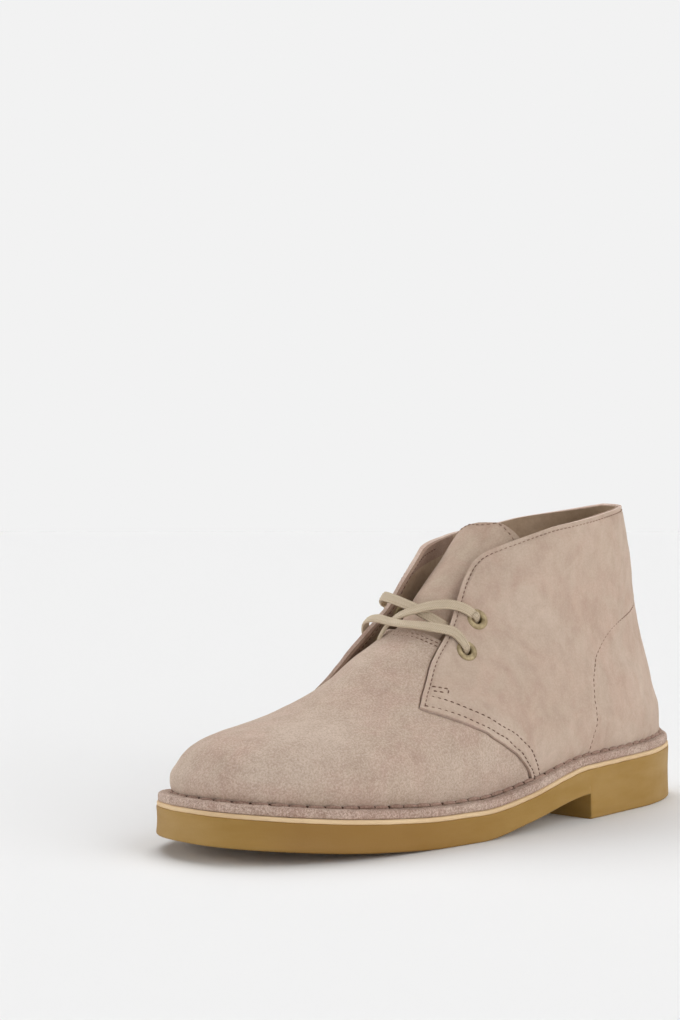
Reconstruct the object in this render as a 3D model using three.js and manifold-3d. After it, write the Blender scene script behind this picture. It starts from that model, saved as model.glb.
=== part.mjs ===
// Chukka boot, left foot: suede upper turned out over a crepe-coloured midsole, moulded rubber sole.
// Millimetres. +X runs to the toe, +Y to the outer side of the foot, +Z up. The origin is on the
// floor under the middle of the boot's box.
import * as THREE from 'three';
import { mergeVertices } from 'three/addons/utils/BufferGeometryUtils.js';
import Module from 'manifold-3d';

const wasm = await Module();
wasm.setup();

// Lengths and heights of the last.
const SOLE_LENGTH = 300;
const BALL_WIDTH = 104;
const INSTEP_HEIGHT = 69;    // feather line to the top edge of the vamp
const COLLAR_HEIGHT = 113;   // feather line to the top of the back seam
const ANKLE_WIDTH = 61;
const ANKLE_LEAN = 2.5;      // how far the shaft stands to the inner side
const TOE_INWARD = 4;        // how far the toe tip lies to the inner side

// Sole.
const SOLE_THICK = 11.9;
const ARCH_HEIGHT = 11.2;
const TOE_SPRING = 7.9;
const HEEL_LENGTH = 101;
const BREAST_SLOPE = 1.2;
const SOLE_EDGE = 0.8;       // small bevel round the sole
const MIDSOLE_THICK = 1.8;
const MIDSOLE_INSET = 0.4;
const INSOLE_THICK = 3;

// Upper.
const WALL = 1.9;            // suede and lining together
const OVERLAP_STEP = 1;      // how far the quarters stand above the vamp
const FLANGE_THICK = 2;
const FLANGE_INSET = 0.8;    // from the sole's edge to the flange's cut edge
const FLANGE_RISE = 0.6;     // the flange swells towards the stitch line
const FLARE_OUTER = 1.5;     // how far the outer flap's front edge stands off
const FLARE_INNER = 8;       // how far the inner flap's front edge stands off
// Where the front edges start to stand off, and over how far.
const FLAP = { around: 0.5, aroundSpan: 0.36, level: 0.5, levelSpan: 0.55 };
const FIT = 0.3;             // gap between pieces that touch

// Tongue, eyelets and lace.
const TONGUE_THICK = 1.8;
const TONGUE_LEAN = 2.6;     // how far the tongue's top leans back into the shaft
const TONGUE_CROWN = 1.6;    // how far its inner half arches forward between the flaps
const EYELET_RADIUS = 4.8;
const EYELET_BORE = 2.1;
const EYELET_BARREL = 0.4;
const EYELET_RIM = 0.9;
const EYELET_FIT = 0.65;     // the ring is flat and the suede under it is curved
const LACE_WIDTH = 5;
const LACE_THICK = 1.4;

// Half widths of the sole from heel to toe, as shares of BALL_WIDTH.
const PLAN = [
  { at: 0.00, outer: 0.308, inner: 0.327 },
  { at: 0.13, outer: 0.335, inner: 0.341 },
  { at: 0.38, outer: 0.419, inner: 0.317 },
  { at: 0.62, outer: 0.476, inner: 0.500 },
  { at: 0.78, outer: 0.476, inner: 0.481 },
  { at: 1.00, outer: 0.423, inner: 0.423 },
];
// Where the ends of the outline start to round, as shares of the length, and how full they are.
const SOLE_ENDS = { heelRound: 0.19, heelPower: 1.9, toeRound: 0.743, toePower: 2.4 };
const INNER_TOE = 0.087;     // the inner side stays straight this much further forward

// The stretch of the forefoot that lies on the floor, as shares of the length.
const FLAT = { from: 0.61, to: 0.67 };

// Underside and thickness of the sole. arch and spring are shares of ARCH_HEIGHT and TOE_SPRING,
// thick is a share of SOLE_THICK.
const PROFILE = [
  { at: 0.000, arch: 0.98, spring: 0, thick: 1.21 },
  { at: 0.336, arch: 1.00, spring: 0, thick: 1.00 },
  { at: 0.500, arch: 0.38, spring: 0, thick: 0.91 },
  { at: FLAT.from, arch: 0, spring: 0, thick: 0.99 },
  { at: FLAT.to, arch: 0, spring: 0, thick: 1.00 },
  { at: 0.800, arch: 0.00, spring: 0.26, thick: 1.02 },
  { at: 1.000, arch: 0.00, spring: 0.92, thick: 1.06 },
];

// Horizontal sections of the last. level 0 is the feather line, 1 the vamp's top edge and 2 the top
// of the back seam. back and front are shares of SOLE_LENGTH from the middle. full is the share of
// the sole's width, and ankle blends it into ANKLE_WIDTH. The ends round off as in SOLE_ENDS.
const SECTIONS = [
  { level: 0, back: -0.481, front: 0.477, full: 0.86, ankle: 0, heel: 0.24, toe: 0.74, power: 2.25 },
  { level: 0.116, back: -0.478, front: 0.485, full: 0.92, ankle: 0, heel: 0.24, toe: 0.73, power: 2.25 },
  { level: 0.217, back: -0.474, front: 0.474, full: 0.94, ankle: 0, heel: 0.25, toe: 0.71, power: 2.2 },
  { level: 0.290, back: -0.465, front: 0.462, full: 0.94, ankle: 0.05, heel: 0.25, toe: 0.68, power: 2.1 },
  { level: 0.362, back: -0.458, front: 0.434, full: 0.93, ankle: 0.08, heel: 0.26, toe: 0.64, power: 2 },
  { level: 0.435, back: -0.453, front: 0.379, full: 0.92, ankle: 0.12, heel: 0.27, toe: 0.6, power: 2 },
  { level: 0.522, back: -0.448, front: 0.315, full: 0.89, ankle: 0.2, heel: 0.29, toe: 0.55, power: 2 },
  { level: 0.652, back: -0.438, front: 0.243, full: 0.85, ankle: 0.4, heel: 0.32, toe: 0.5, power: 2 },
  { level: 0.826, back: -0.426, front: 0.18, full: 0.82, ankle: 0.7, heel: 0.36, toe: 0.45, power: 2 },
  { level: 1.000, back: -0.418, front: 0.108, full: 0.8, ankle: 0.9, heel: 0.42, toe: 0.42, power: 2 },
  { level: 1.364, back: -0.411, front: 0.04, full: 0.8, ankle: 1, heel: 0.48, toe: 0.44, power: 2 },
  { level: 1.705, back: -0.395, front: -0.02, full: 0.8, ankle: 1, heel: 0.52, toe: 0.46, power: 2 },
  { level: 2.200, back: -0.364, front: -0.093, full: 0.8, ankle: 1, heel: 0.54, toe: 0.5, power: 2 },
];

// Lines drawn on the last. around is 0 at the back seam and 1 at the front of the section.
// The seam runs from the flange to the quarter's lower front corner and up its front edge.
const SEAM = [
  { around: 0.482, level: 0.000 },
  { around: 0.492, level: 0.105 },
  { around: 0.511, level: 0.205 },
  { around: 0.535, level: 0.308 },
  { around: 0.570, level: 0.390 },
  { around: 0.618, level: 0.455 },
  { around: 0.675, level: 0.515 },
  { around: 0.735, level: 0.568 },
  { around: 0.753, level: 0.652 },
  { around: 0.766, level: 0.760 },
  { around: 0.792, level: 0.942 },
];
const SEAM_CORNER = 7;       // the row of SEAM at the quarter's lower front corner

// Top edge of the vamp from the middle of the throat to the quarter.
const THROAT = [
  { around: 1.000, level: 1.030 },
  { around: 0.920, level: 1.021 },
  { around: 0.843, level: 0.980 },
  { around: 0.792, level: 0.942 },
];

// Free edge of a quarter: up its front edge, round its corner and along the collar to the back.
// outer and inner are its levels on the two sides of the boot.
const RIM = [
  { around: 0.792, outer: 0.942, inner: 0.942 },
  { around: 0.805, outer: 1.020, inner: 1.020 },
  { around: 0.823, outer: 1.150, inner: 1.140 },
  { around: 0.840, outer: 1.300, inner: 1.270 },
  { around: 0.856, outer: 1.440, inner: 1.390 },
  { around: 0.862, outer: 1.540, inner: 1.480 },
  { around: 0.850, outer: 1.620, inner: 1.560 },
  { around: 0.810, outer: 1.675, inner: 1.620 },
  { around: 0.745, outer: 1.725, inner: 1.670 },
  { around: 0.660, outer: 1.780, inner: 1.715 },
  { around: 0.565, outer: 1.830, inner: 1.750 },
  { around: 0.470, outer: 1.885, inner: 1.800 },
  { around: 0.375, outer: 1.930, inner: 1.860 },
  { around: 0.280, outer: 1.960, inner: 1.897 },
  { around: 0.185, outer: 1.978, inner: 1.930 },
  { around: 0.090, outer: 1.986, inner: 1.962 },
  { around: 0.000, outer: 1.990, inner: 1.990 },
];

// Reach of the tongue to both sides, as shares of the way round, from under the vamp to its top.
const TONGUE = [
  { level: 0.760, outer: 0.170, inner: 0.170 },
  { level: 1.000, outer: 0.190, inner: 0.200 },
  { level: 1.300, outer: 0.220, inner: 0.230 },
  { level: 1.600, outer: 0.260, inner: 0.250 },
  { level: 1.757, outer: 0.273, inner: 0.250 },
  { level: 1.807, outer: 0.253, inner: 0.240 },
  { level: 1.884, outer: 0.210, inner: 0.200 },
  { level: 1.952, outer: 0.159, inner: 0.130 },
  { level: 1.990, outer: 0.110, inner: 0.065 },
  { level: 2.007, outer: 0.040, inner: 0.015 },
];

const EYELETS = [
  { name: 'eyelet_outer_lower', side: 1, around: 0.709, level: 0.862 },
  { name: 'eyelet_outer_upper', side: 1, around: 0.737, level: 1.045 },
  { name: 'eyelet_inner_lower', side: -1, around: 0.709, level: 0.862 },
  { name: 'eyelet_inner_upper', side: -1, around: 0.737, level: 1.045 },
];

// Strands of the lace. turn is around on the outer side and runs on past 1 over the front to the
// inner side. lift is the height of the strand's middle above the last.
const STRANDS = [
  [
    { turn: 0.703, level: 0.862, lift: 4.25 },
    { turn: 0.735, level: 0.925, lift: 4.6 },
    { turn: 0.800, level: 0.985, lift: 5.4 },
    { turn: 0.900, level: 1.020, lift: 4.2 },
    { turn: 1.000, level: 1.030, lift: 4.4 },
    { turn: 1.090, level: 1.020, lift: 7.0 },
    { turn: 1.170, level: 0.990, lift: 10.5 },
    { turn: 1.240, level: 0.930, lift: 11.0 },
    { turn: 1.297, level: 0.862, lift: 9.4 },
  ],
  [
    { turn: 0.723, level: 1.045, lift: 4.65 },
    { turn: 0.755, level: 1.120, lift: 5.0 },
    { turn: 0.830, level: 1.170, lift: 5.8 },
    { turn: 0.920, level: 1.160, lift: 5.4 },
    { turn: 1.000, level: 1.120, lift: 5.0 },
    { turn: 1.070, level: 1.070, lift: 5.6 },
    { turn: 1.120, level: 1.030, lift: 6.4 },
  ],
  [
    { turn: 1.277, level: 1.045, lift: 11.0 },
    { turn: 1.235, level: 1.130, lift: 12.2 },
    { turn: 1.160, level: 1.190, lift: 11.4 },
    { turn: 1.080, level: 1.180, lift: 7.4 },
    { turn: 1.000, level: 1.120, lift: 4.6 },
    { turn: 0.930, level: 1.060, lift: 3.8 },
    { turn: 0.880, level: 1.000, lift: 3.8 },
  ],
];

// Fineness of the meshes.
const VAMP_COLUMNS = 12;
const WALL_ROWS = 18;
const CORNER_ROW = 13;
const PATH_SAMPLES = 60;
const RING_SEGMENTS = 16;

const clamp01 = (value) => Math.min(1, Math.max(0, value));
const mix = (from, to, share) => from + (to - from) * share;
const smooth = (share) => clamp01(share) ** 2 * (3 - 2 * clamp01(share));

// A smooth curve through one column of a table that never overshoots its rows.
function column(rows, key, name) {
  const at = rows.map((row) => row[key]);
  const value = rows.map((row) => row[name]);
  const last = rows.length - 1;
  const step = at.slice(1).map((end, i) => end - at[i]);
  const slope = step.map((length, i) => (value[i + 1] - value[i]) / length);
  const tangent = value.map((_, i) => {
    if (i === 0) return slope[0];
    if (i === last) return slope[last - 1];
    if (slope[i - 1] * slope[i] <= 0) return 0;
    const before = 2 * step[i] + step[i - 1];
    const after = step[i] + 2 * step[i - 1];
    return (before + after) / (before / slope[i - 1] + after / slope[i]);
  });
  return (x) => {
    const clamped = Math.min(at[last], Math.max(at[0], x));
    let i = 0;
    while (i < last - 1 && clamped > at[i + 1]) i += 1;
    const t = (clamped - at[i]) / step[i];
    const rise = value[i] * (1 + 2 * t) * (1 - t) ** 2 + value[i + 1] * t * t * (3 - 2 * t);
    return rise + step[i] * (tangent[i] * t * (1 - t) ** 2 - tangent[i + 1] * t * t * (1 - t));
  };
}

function columns(rows, key) {
  const names = Object.keys(rows[0]).filter((name) => name !== key);
  return Object.fromEntries(names.map((name) => [name, column(rows, key, name)]));
}

const plan = columns(PLAN, 'at');
const profile = columns(PROFILE, 'at');
const section = columns(SECTIONS, 'level');

// 1 along the middle of an outline, falling to 0 at both ends as two rounded caps.
function ends(share, heelRound, heelPower, toeRound, toePower) {
  const heel = 1 - clamp01((heelRound - share) / heelRound) ** heelPower;
  const toe = 1 - clamp01((share - toeRound) / (1 - toeRound)) ** toePower;
  return heel ** (1 / heelPower) * toe ** (1 / toePower);
}

const lengthShare = (x) => clamp01(x / SOLE_LENGTH + 0.5);
const alongShare = (around) => 0.5 - 0.5 * Math.cos(Math.PI * around);
const middle = (x) => -TOE_INWARD * smooth((lengthShare(x) - 0.45) / 0.55);
const halfWidth = (x, side) => BALL_WIDTH * plan[side > 0 ? 'outer' : 'inner'](lengthShare(x));

// Heights of the layers under the foot at x.
function underside(x) {
  const share = lengthShare(x);
  return ARCH_HEIGHT * profile.arch(share) + TOE_SPRING * profile.spring(share);
}
const soleTop = (x) => underside(x) + SOLE_THICK * profile.thick(lengthShare(x));
const midsoleTop = (x) => soleTop(x) + FIT + MIDSOLE_THICK;
const featherHeight = (x) => midsoleTop(x) + FIT + FLANGE_THICK;

function levelHeight(level) {
  if (level <= 1) return level * INSTEP_HEIGHT;
  return INSTEP_HEIGHT + (level - 1) * (COLLAR_HEIGHT - INSTEP_HEIGHT);
}

// Edge of the sole seen from above, moved inwards by inset.
function soleEdge(around, side, inset) {
  const point = (a) => {
    const share = alongShare(a);
    const x = (share - 0.5) * SOLE_LENGTH;
    const toeRound = SOLE_ENDS.toeRound + (side < 0 ? INNER_TOE : 0);
    const cap = ends(share, SOLE_ENDS.heelRound, SOLE_ENDS.heelPower, toeRound, SOLE_ENDS.toePower);
    return new THREE.Vector2(x, middle(x) + side * halfWidth(x, side) * cap);
  };
  const at = point(around);
  if (around < 1e-6) return at.add(new THREE.Vector2(inset, 0));
  if (around > 1 - 1e-6) return at.add(new THREE.Vector2(-inset, 0));
  const along = point(Math.min(1, around + 1e-3)).sub(point(Math.max(0, around - 1e-3))).normalize();
  return at.add(new THREE.Vector2(along.y, -along.x).multiplyScalar(side * inset));
}

// A point of the last's surface. around runs from the back seam to the front on either side.
function lastPoint(around, level, side) {
  const share = alongShare(around);
  const x = SOLE_LENGTH * mix(section.back(level), section.front(level), share);
  const ankle = section.ankle(level);
  const width = mix(halfWidth(x, side) * section.full(level), ANKLE_WIDTH / 2, ankle);
  const toeRound = section.toe(level) + (side < 0 ? INNER_TOE * (1 - ankle) : 0);
  const cap = ends(share, section.heel(level), 2, toeRound, section.power(level));
  const y = middle(x) * (1 - 0.5 * ankle) - ANKLE_LEAN * ankle + side * width * cap;
  return new THREE.Vector3(x, y, featherHeight(x) + levelHeight(level));
}

// turn runs right round the boot: 0 back seam, 1 front, 2 back seam again along the inner side.
function turnPoint(turn, level) {
  const wrapped = ((turn % 2) + 2) % 2;
  return wrapped <= 1 ? lastPoint(wrapped, level, 1) : lastPoint(2 - wrapped, level, -1);
}

function normalOf(surface, turn, level) {
  const around = surface(turn + 2e-3, level).sub(surface(turn - 2e-3, level));
  const low = Math.max(0, level - 5e-3);
  const up = surface(turn, low + 1e-2).sub(surface(turn, low));
  return up.cross(around).normalize();
}

function offLast(turn, level, lift) {
  return turnPoint(turn, level).addScaledVector(normalOf(turnPoint, turn, level), lift);
}

// How far a quarter stands off the last: the step over the vamp, and its front edge bent open.
function quarterLift(turn, level) {
  const around = turn <= 1 ? turn : 2 - turn;
  const forward = smooth((around - FLAP.around) / FLAP.aroundSpan);
  const upward = smooth((level - FLAP.level) / FLAP.levelSpan);
  return OVERLAP_STEP + (turn <= 1 ? FLARE_OUTER : FLARE_INNER) * forward * upward;
}

const quarterSkin = (turn, level) => offLast(turn, level, quarterLift(turn, level));

// Straight runs between the rows of a line.
function alongLine(rows, share) {
  const place = clamp01(share) * (rows.length - 1);
  const i = Math.min(rows.length - 2, Math.floor(place));
  return {
    around: mix(rows[i].around, rows[i + 1].around, place - i),
    level: mix(rows[i].level, rows[i + 1].level, place - i),
  };
}

// The way up the last of one column of the wall, before its rows are spaced.
function vampPath(share) {
  const top = alongLine(THROAT, share);
  const topOnSeam = SEAM[SEAM.length - 1];
  const aroundMend = top.around - mix(1, topOnSeam.around, share);
  const levelMend = top.level - mix(THROAT[0].level, topOnSeam.level, share);
  return (rise) => {
    const seam = alongLine(SEAM, rise);
    return {
      around: mix(1, seam.around, share) + rise * aroundMend,
      level: mix(THROAT[0].level * rise, seam.level, share) + rise * levelMend,
    };
  };
}

function quarterPath(index, side) {
  const count = RIM.length - 1;
  const foot = { around: SEAM[0].around * (1 - index / count), level: 0 };
  const top = { around: RIM[index].around, level: RIM[index][side > 0 ? 'outer' : 'inner'] };
  const seamTop = SEAM[SEAM.length - 1];
  const follow = Math.max(0, 1 - index / 7) ** 2;
  return (rise) => {
    const seam = alongLine(SEAM, rise);
    const aroundMend = seam.around - mix(SEAM[0].around, seamTop.around, rise);
    const levelMend = seam.level - mix(SEAM[0].level, seamTop.level, rise);
    return {
      around: mix(foot.around, top.around, rise) + follow * aroundMend,
      level: mix(foot.level, top.level, rise) + follow * levelMend,
    };
  };
}

// Rows evenly spaced along a column, with one of them at the share given for CORNER_ROW.
function spacedRows(path, cornerShare) {
  const samples = Array.from({ length: PATH_SAMPLES + 1 }, (_, i) => path(i / PATH_SAMPLES));
  const points = samples.map((spot) => lastPoint(spot.around, spot.level, 1));
  const run = [0];
  for (let i = 1; i < points.length; i += 1) run.push(run[i - 1] + points[i].distanceTo(points[i - 1]));
  const total = run[PATH_SAMPLES];
  return Array.from({ length: WALL_ROWS + 1 }, (_, row) => {
    const share = row <= CORNER_ROW
      ? cornerShare * (row / CORNER_ROW)
      : mix(cornerShare, 1, (row - CORNER_ROW) / (WALL_ROWS - CORNER_ROW));
    let i = 0;
    while (i < PATH_SAMPLES - 1 && run[i + 1] < share * total) i += 1;
    const between = clamp01((share * total - run[i]) / (run[i + 1] - run[i]));
    return path((i + between) / PATH_SAMPLES);
  });
}

function seamCornerShare() {
  const spots = Array.from({ length: PATH_SAMPLES + 1 }, (_, i) => alongLine(SEAM, i / PATH_SAMPLES));
  const points = spots.map((spot) => lastPoint(spot.around, spot.level, 1));
  const corner = Math.round((PATH_SAMPLES * SEAM_CORNER) / (SEAM.length - 1));
  let before = 0;
  let total = 0;
  for (let i = 1; i <= PATH_SAMPLES; i += 1) {
    const piece = points[i].distanceTo(points[i - 1]);
    total += piece;
    if (i <= corner) before += piece;
  }
  return before / total;
}

// Columns of one side from the front to the back. The seam's column is there twice: once on
// the vamp and once on the quarter, and the step in the wall lies between the two.
function sideColumns(side) {
  const corner = seamCornerShare();
  const list = [];
  for (let i = 0; i <= VAMP_COLUMNS; i += 1) {
    list.push({ quarter: false, rows: spacedRows(vampPath(i / VAMP_COLUMNS), corner) });
  }
  for (let i = 0; i < RIM.length; i += 1) {
    list.push({ quarter: true, rows: spacedRows(quarterPath(i, side), corner) });
  }
  return list;
}

// The columns in order right round the boot, each with its turn at every row.
function allColumns() {
  const outer = sideColumns(1).reverse().map((entry) => ({
    quarter: entry.quarter,
    rows: entry.rows.map((spot) => ({ turn: spot.around, level: spot.level })),
  }));
  const inner = sideColumns(-1).slice(1, -1).map((entry) => ({
    quarter: entry.quarter,
    rows: entry.rows.map((spot) => ({ turn: 2 - spot.around, level: spot.level })),
  }));
  return [...outer, ...inner];
}

// Stations of the sole's edge, which are the feet of the wall's columns.
function stations() {
  const list = [];
  for (let i = 0; i < RIM.length; i += 1) list.push((SEAM[0].around * i) / (RIM.length - 1));
  for (let i = 1; i <= VAMP_COLUMNS; i += 1) list.push(mix(SEAM[0].around, 1, i / VAMP_COLUMNS));
  return list;
}

function geometry(points, triangles) {
  const positions = new Float32Array(points.flatMap((point) => [point.x, point.y, point.z]));
  const shape = new THREE.BufferGeometry();
  shape.setAttribute('position', new THREE.BufferAttribute(positions, 3));
  shape.setIndex(triangles);
  shape.computeVertexNormals();
  return shape;
}

// A closed band of loops: each loop joins the next, and the last joins the first.
function ringSolid(loops) {
  const points = loops.flat();
  const count = loops[0].length;
  const triangles = [];
  loops.forEach((_, l) => {
    const next = (l + 1) % loops.length;
    for (let i = 0; i < count; i += 1) {
      const j = (i + 1) % count;
      const [a, b, c, d] = [l * count + i, l * count + j, next * count + j, next * count + i];
      triangles.push(a, c, b, a, d, c);
    }
  });
  return geometry(points, triangles);
}

// A slab over the sole's plan. around lists its stations, and each layer, from the bottom up, gives
// a point for a station and a side. The lowest and highest layers are closed by rungs across.
function slabSolid(around, layers) {
  const last = around.length - 1;
  const ring = [
    ...around.map((value) => [value, 1]),
    ...around.slice(1, last).reverse().map((value) => [value, -1]),
  ];
  const points = layers.flatMap((layer) => ring.map(([value, side]) => layer(value, side)));
  const count = ring.length;
  const triangles = [];
  for (let l = 0; l + 1 < layers.length; l += 1) {
    for (let i = 0; i < count; i += 1) {
      const j = (i + 1) % count;
      const [a, b, c, d] = [l * count + i, l * count + j, (l + 1) * count + j, (l + 1) * count + i];
      triangles.push(a, c, b, a, d, c);
    }
  }
  const opposite = (i) => (count - i) % count;
  const top = (layers.length - 1) * count;
  for (let i = 0; i < last; i += 1) {
    const quad = [i, i + 1, opposite(i + 1), opposite(i)];
    const [a, b, c, d] = quad;
    if (b !== c) {
      triangles.push(a, b, c);
      triangles.push(top + a, top + c, top + b);
    }
    if (a !== d) {
      triangles.push(a, c, d);
      triangles.push(top + a, top + d, top + c);
    }
  }
  return geometry(points, triangles);
}

// A closed sheet between an outer and an inner grid of points with the same rows and columns.
function sheetSolid(outer, inner) {
  const rows = outer.length;
  const width = outer[0].length;
  const points = [...outer.flat(), ...inner.flat()];
  const back = rows * width;
  const at = (r, c) => r * width + c;
  const triangles = [];
  for (let r = 0; r + 1 < rows; r += 1) {
    for (let c = 0; c + 1 < width; c += 1) {
      const [p, q, s, t] = [at(r, c), at(r, c + 1), at(r + 1, c + 1), at(r + 1, c)];
      triangles.push(p, q, s, p, s, t);
      triangles.push(back + p, back + s, back + q, back + p, back + t, back + s);
    }
  }
  const border = [];
  for (let c = 0; c < width; c += 1) border.push(at(0, c));
  for (let r = 1; r < rows; r += 1) border.push(at(r, width - 1));
  for (let c = width - 2; c >= 0; c -= 1) border.push(at(rows - 1, c));
  for (let r = rows - 2; r > 0; r -= 1) border.push(at(r, 0));
  border.forEach((p, i) => {
    const q = border[(i + 1) % border.length];
    triangles.push(q, p, back + p, q, back + p, back + q);
  });
  return geometry(points, triangles);
}

function toManifold(shape) {
  const bare = shape.clone();
  bare.deleteAttribute('normal');
  if (bare.getAttribute('uv')) bare.deleteAttribute('uv');
  const merged = mergeVertices(bare, 1e-4);
  return new wasm.Manifold(new wasm.Mesh({
    numProp: 3,
    vertProperties: new Float32Array(merged.getAttribute('position').array),
    triVerts: new Uint32Array(merged.getIndex().array),
  }));
}

function fromManifold(solid) {
  const { vertProperties, triVerts } = solid.getMesh();
  const shape = new THREE.BufferGeometry();
  shape.setAttribute('position', new THREE.BufferAttribute(new Float32Array(vertProperties), 3));
  shape.setIndex(new THREE.BufferAttribute(new Uint32Array(triVerts), 1));
  shape.computeVertexNormals();
  return shape;
}

// The moulded sole with its heel. Its underside drops from the arch to the floor at the heel breast.
function outsoleGeometry() {
  const breast = -SOLE_LENGTH / 2 + HEEL_LENGTH;
  const aroundAt = (x) => Math.acos(1 - 2 * lengthShare(x)) / Math.PI;
  const flat = [FLAT.from, FLAT.to].map((share) => aroundAt((share - 0.5) * SOLE_LENGTH));
  const edges = [aroundAt(breast), aroundAt(breast + BREAST_SLOPE), ...flat];
  const clear = stations().filter((value) => edges.every((edge) => Math.abs(value - edge) > 0.008));
  const around = [...clear, ...edges].sort((a, b) => a - b);
  const bottom = (x) => (x < breast + BREAST_SLOPE / 2 ? 0 : underside(x));
  const layer = (inset, height) => (value, side) => {
    const edge = soleEdge(value, side, inset);
    return new THREE.Vector3(edge.x, edge.y, height((alongShare(value) - 0.5) * SOLE_LENGTH));
  };
  return slabSolid(around, [
    layer(SOLE_EDGE, (x) => bottom(x)),
    layer(0, (x) => bottom(x) + SOLE_EDGE),
    layer(0, (x) => soleTop(x) - SOLE_EDGE / 2),
    layer(SOLE_EDGE / 2, (x) => soleTop(x)),
  ]);
}

function midsoleGeometry() {
  const layer = (height) => (value, side) => {
    const edge = soleEdge(value, side, MIDSOLE_INSET);
    return new THREE.Vector3(edge.x, edge.y, height(edge.x));
  };
  return slabSolid(stations(), [
    layer((x) => soleTop(x) + FIT),
    layer((x) => midsoleTop(x)),
  ]);
}

// The insole fills the opening under the upper, a fit inside its wall.
function insoleGeometry() {
  const layer = (rise) => (value, side) => {
    const turn = side > 0 ? value : 2 - value;
    const edge = offLast(turn, 0, -(WALL + 2 * FIT));
    return new THREE.Vector3(edge.x, edge.y, midsoleTop(edge.x) + FIT + rise);
  };
  return slabSolid(stations(), [layer(0), layer(INSOLE_THICK)]);
}

// The upper as one wall: out along the flange, up the outside, over the rim and down the inside.
function upperGeometry() {
  const list = allColumns();
  const flangeFoot = (turn) => {
    const side = turn <= 1 ? 1 : -1;
    return soleEdge(turn <= 1 ? turn : 2 - turn, side, FLANGE_INSET);
  };
  const onFlange = (share, rise) => list.map(({ rows }) => {
    const { turn } = rows[0];
    const edge = flangeFoot(turn);
    const root = turnPoint(turn, 0);
    const x = mix(edge.x, root.x, share);
    return new THREE.Vector3(x, mix(edge.y, root.y, share), midsoleTop(x) + FIT + rise);
  });
  const wallRow = (row, depth) => list.map(({ quarter, rows }) => {
    const { turn, level } = rows[row];
    return offLast(turn, level, (quarter ? quarterLift(turn, level) : 0) - depth);
  });
  const innerDepth = (quarter) => WALL + (quarter ? OVERLAP_STEP : 0);
  const innerRow = (row) => list.map(({ quarter, rows }) => {
    const { turn, level } = rows[row];
    return offLast(turn, level, (quarter ? quarterLift(turn, level) : 0) - innerDepth(quarter));
  });
  const innerFoot = list.map(({ rows }) => {
    const point = offLast(rows[0].turn, 0, -WALL);
    return new THREE.Vector3(point.x, point.y, midsoleTop(point.x) + FIT);
  });
  const rowNumbers = Array.from({ length: WALL_ROWS + 1 }, (_, row) => row);
  const loops = [
    onFlange(0, 0),
    onFlange(0, FLANGE_THICK * 0.85),
    onFlange(0.75, FLANGE_THICK + FLANGE_RISE),
    ...rowNumbers.map((row) => wallRow(row, 0)),
    ...rowNumbers.slice().reverse().map((row) => innerRow(row)),
    innerFoot,
  ];
  const holes = EYELETS.map((eyelet) => toManifold(eyeletHole(eyelet)));
  return fromManifold(holes.reduce((wall, hole) => wall.subtract(hole), toManifold(ringSolid(loops))));
}

const eyeletTurn = (eyelet) => (eyelet.side > 0 ? eyelet.around : 2 - eyelet.around);

// Turns a shape built along +Y so that it stands on the quarter at an eyelet's place.
function standAtEyelet(shape, eyelet) {
  const turn = eyeletTurn(eyelet);
  const axis = normalOf(quarterSkin, turn, eyelet.level);
  const turnTo = new THREE.Quaternion().setFromUnitVectors(new THREE.Vector3(0, 1, 0), axis);
  const place = quarterSkin(turn, eyelet.level);
  return shape.applyMatrix4(new THREE.Matrix4().compose(place, turnTo, new THREE.Vector3(1, 1, 1)));
}

function eyeletHole(eyelet) {
  const radius = EYELET_BORE + EYELET_BARREL + FIT;
  const shape = new THREE.CylinderGeometry(radius, radius, 6 * WALL, RING_SEGMENTS);
  return standAtEyelet(shape, eyelet);
}

// A rolled brass ring: its rim lies on the suede and its barrel runs through the wall.
function eyeletGeometry(eyelet) {
  const inside = -(WALL + OVERLAP_STEP);
  const barrel = EYELET_BORE + EYELET_BARREL;
  const outline = [
    [EYELET_BORE, inside - EYELET_FIT - EYELET_RIM],
    [EYELET_RADIUS * 0.8, inside - EYELET_FIT - EYELET_RIM],
    [EYELET_RADIUS * 0.8, inside - EYELET_FIT],
    [barrel, inside - EYELET_FIT],
    [barrel, EYELET_FIT],
    [EYELET_RADIUS, EYELET_FIT],
    [EYELET_RADIUS, EYELET_FIT + EYELET_RIM * 0.4],
    [EYELET_RADIUS * 0.85, EYELET_FIT + EYELET_RIM],
    [EYELET_BORE + EYELET_BARREL, EYELET_FIT + EYELET_RIM],
    [EYELET_BORE, EYELET_FIT + EYELET_RIM * 0.5],
    [EYELET_BORE, inside - EYELET_FIT - EYELET_RIM],
  ].map(([r, y]) => new THREE.Vector2(r, y));
  const ring = new THREE.LatheGeometry(outline, RING_SEGMENTS);
  ring.deleteAttribute('uv');
  ring.deleteAttribute('normal');
  const merged = mergeVertices(ring, 1e-4);
  merged.computeVertexNormals();
  return standAtEyelet(merged, eyelet);
}

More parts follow.
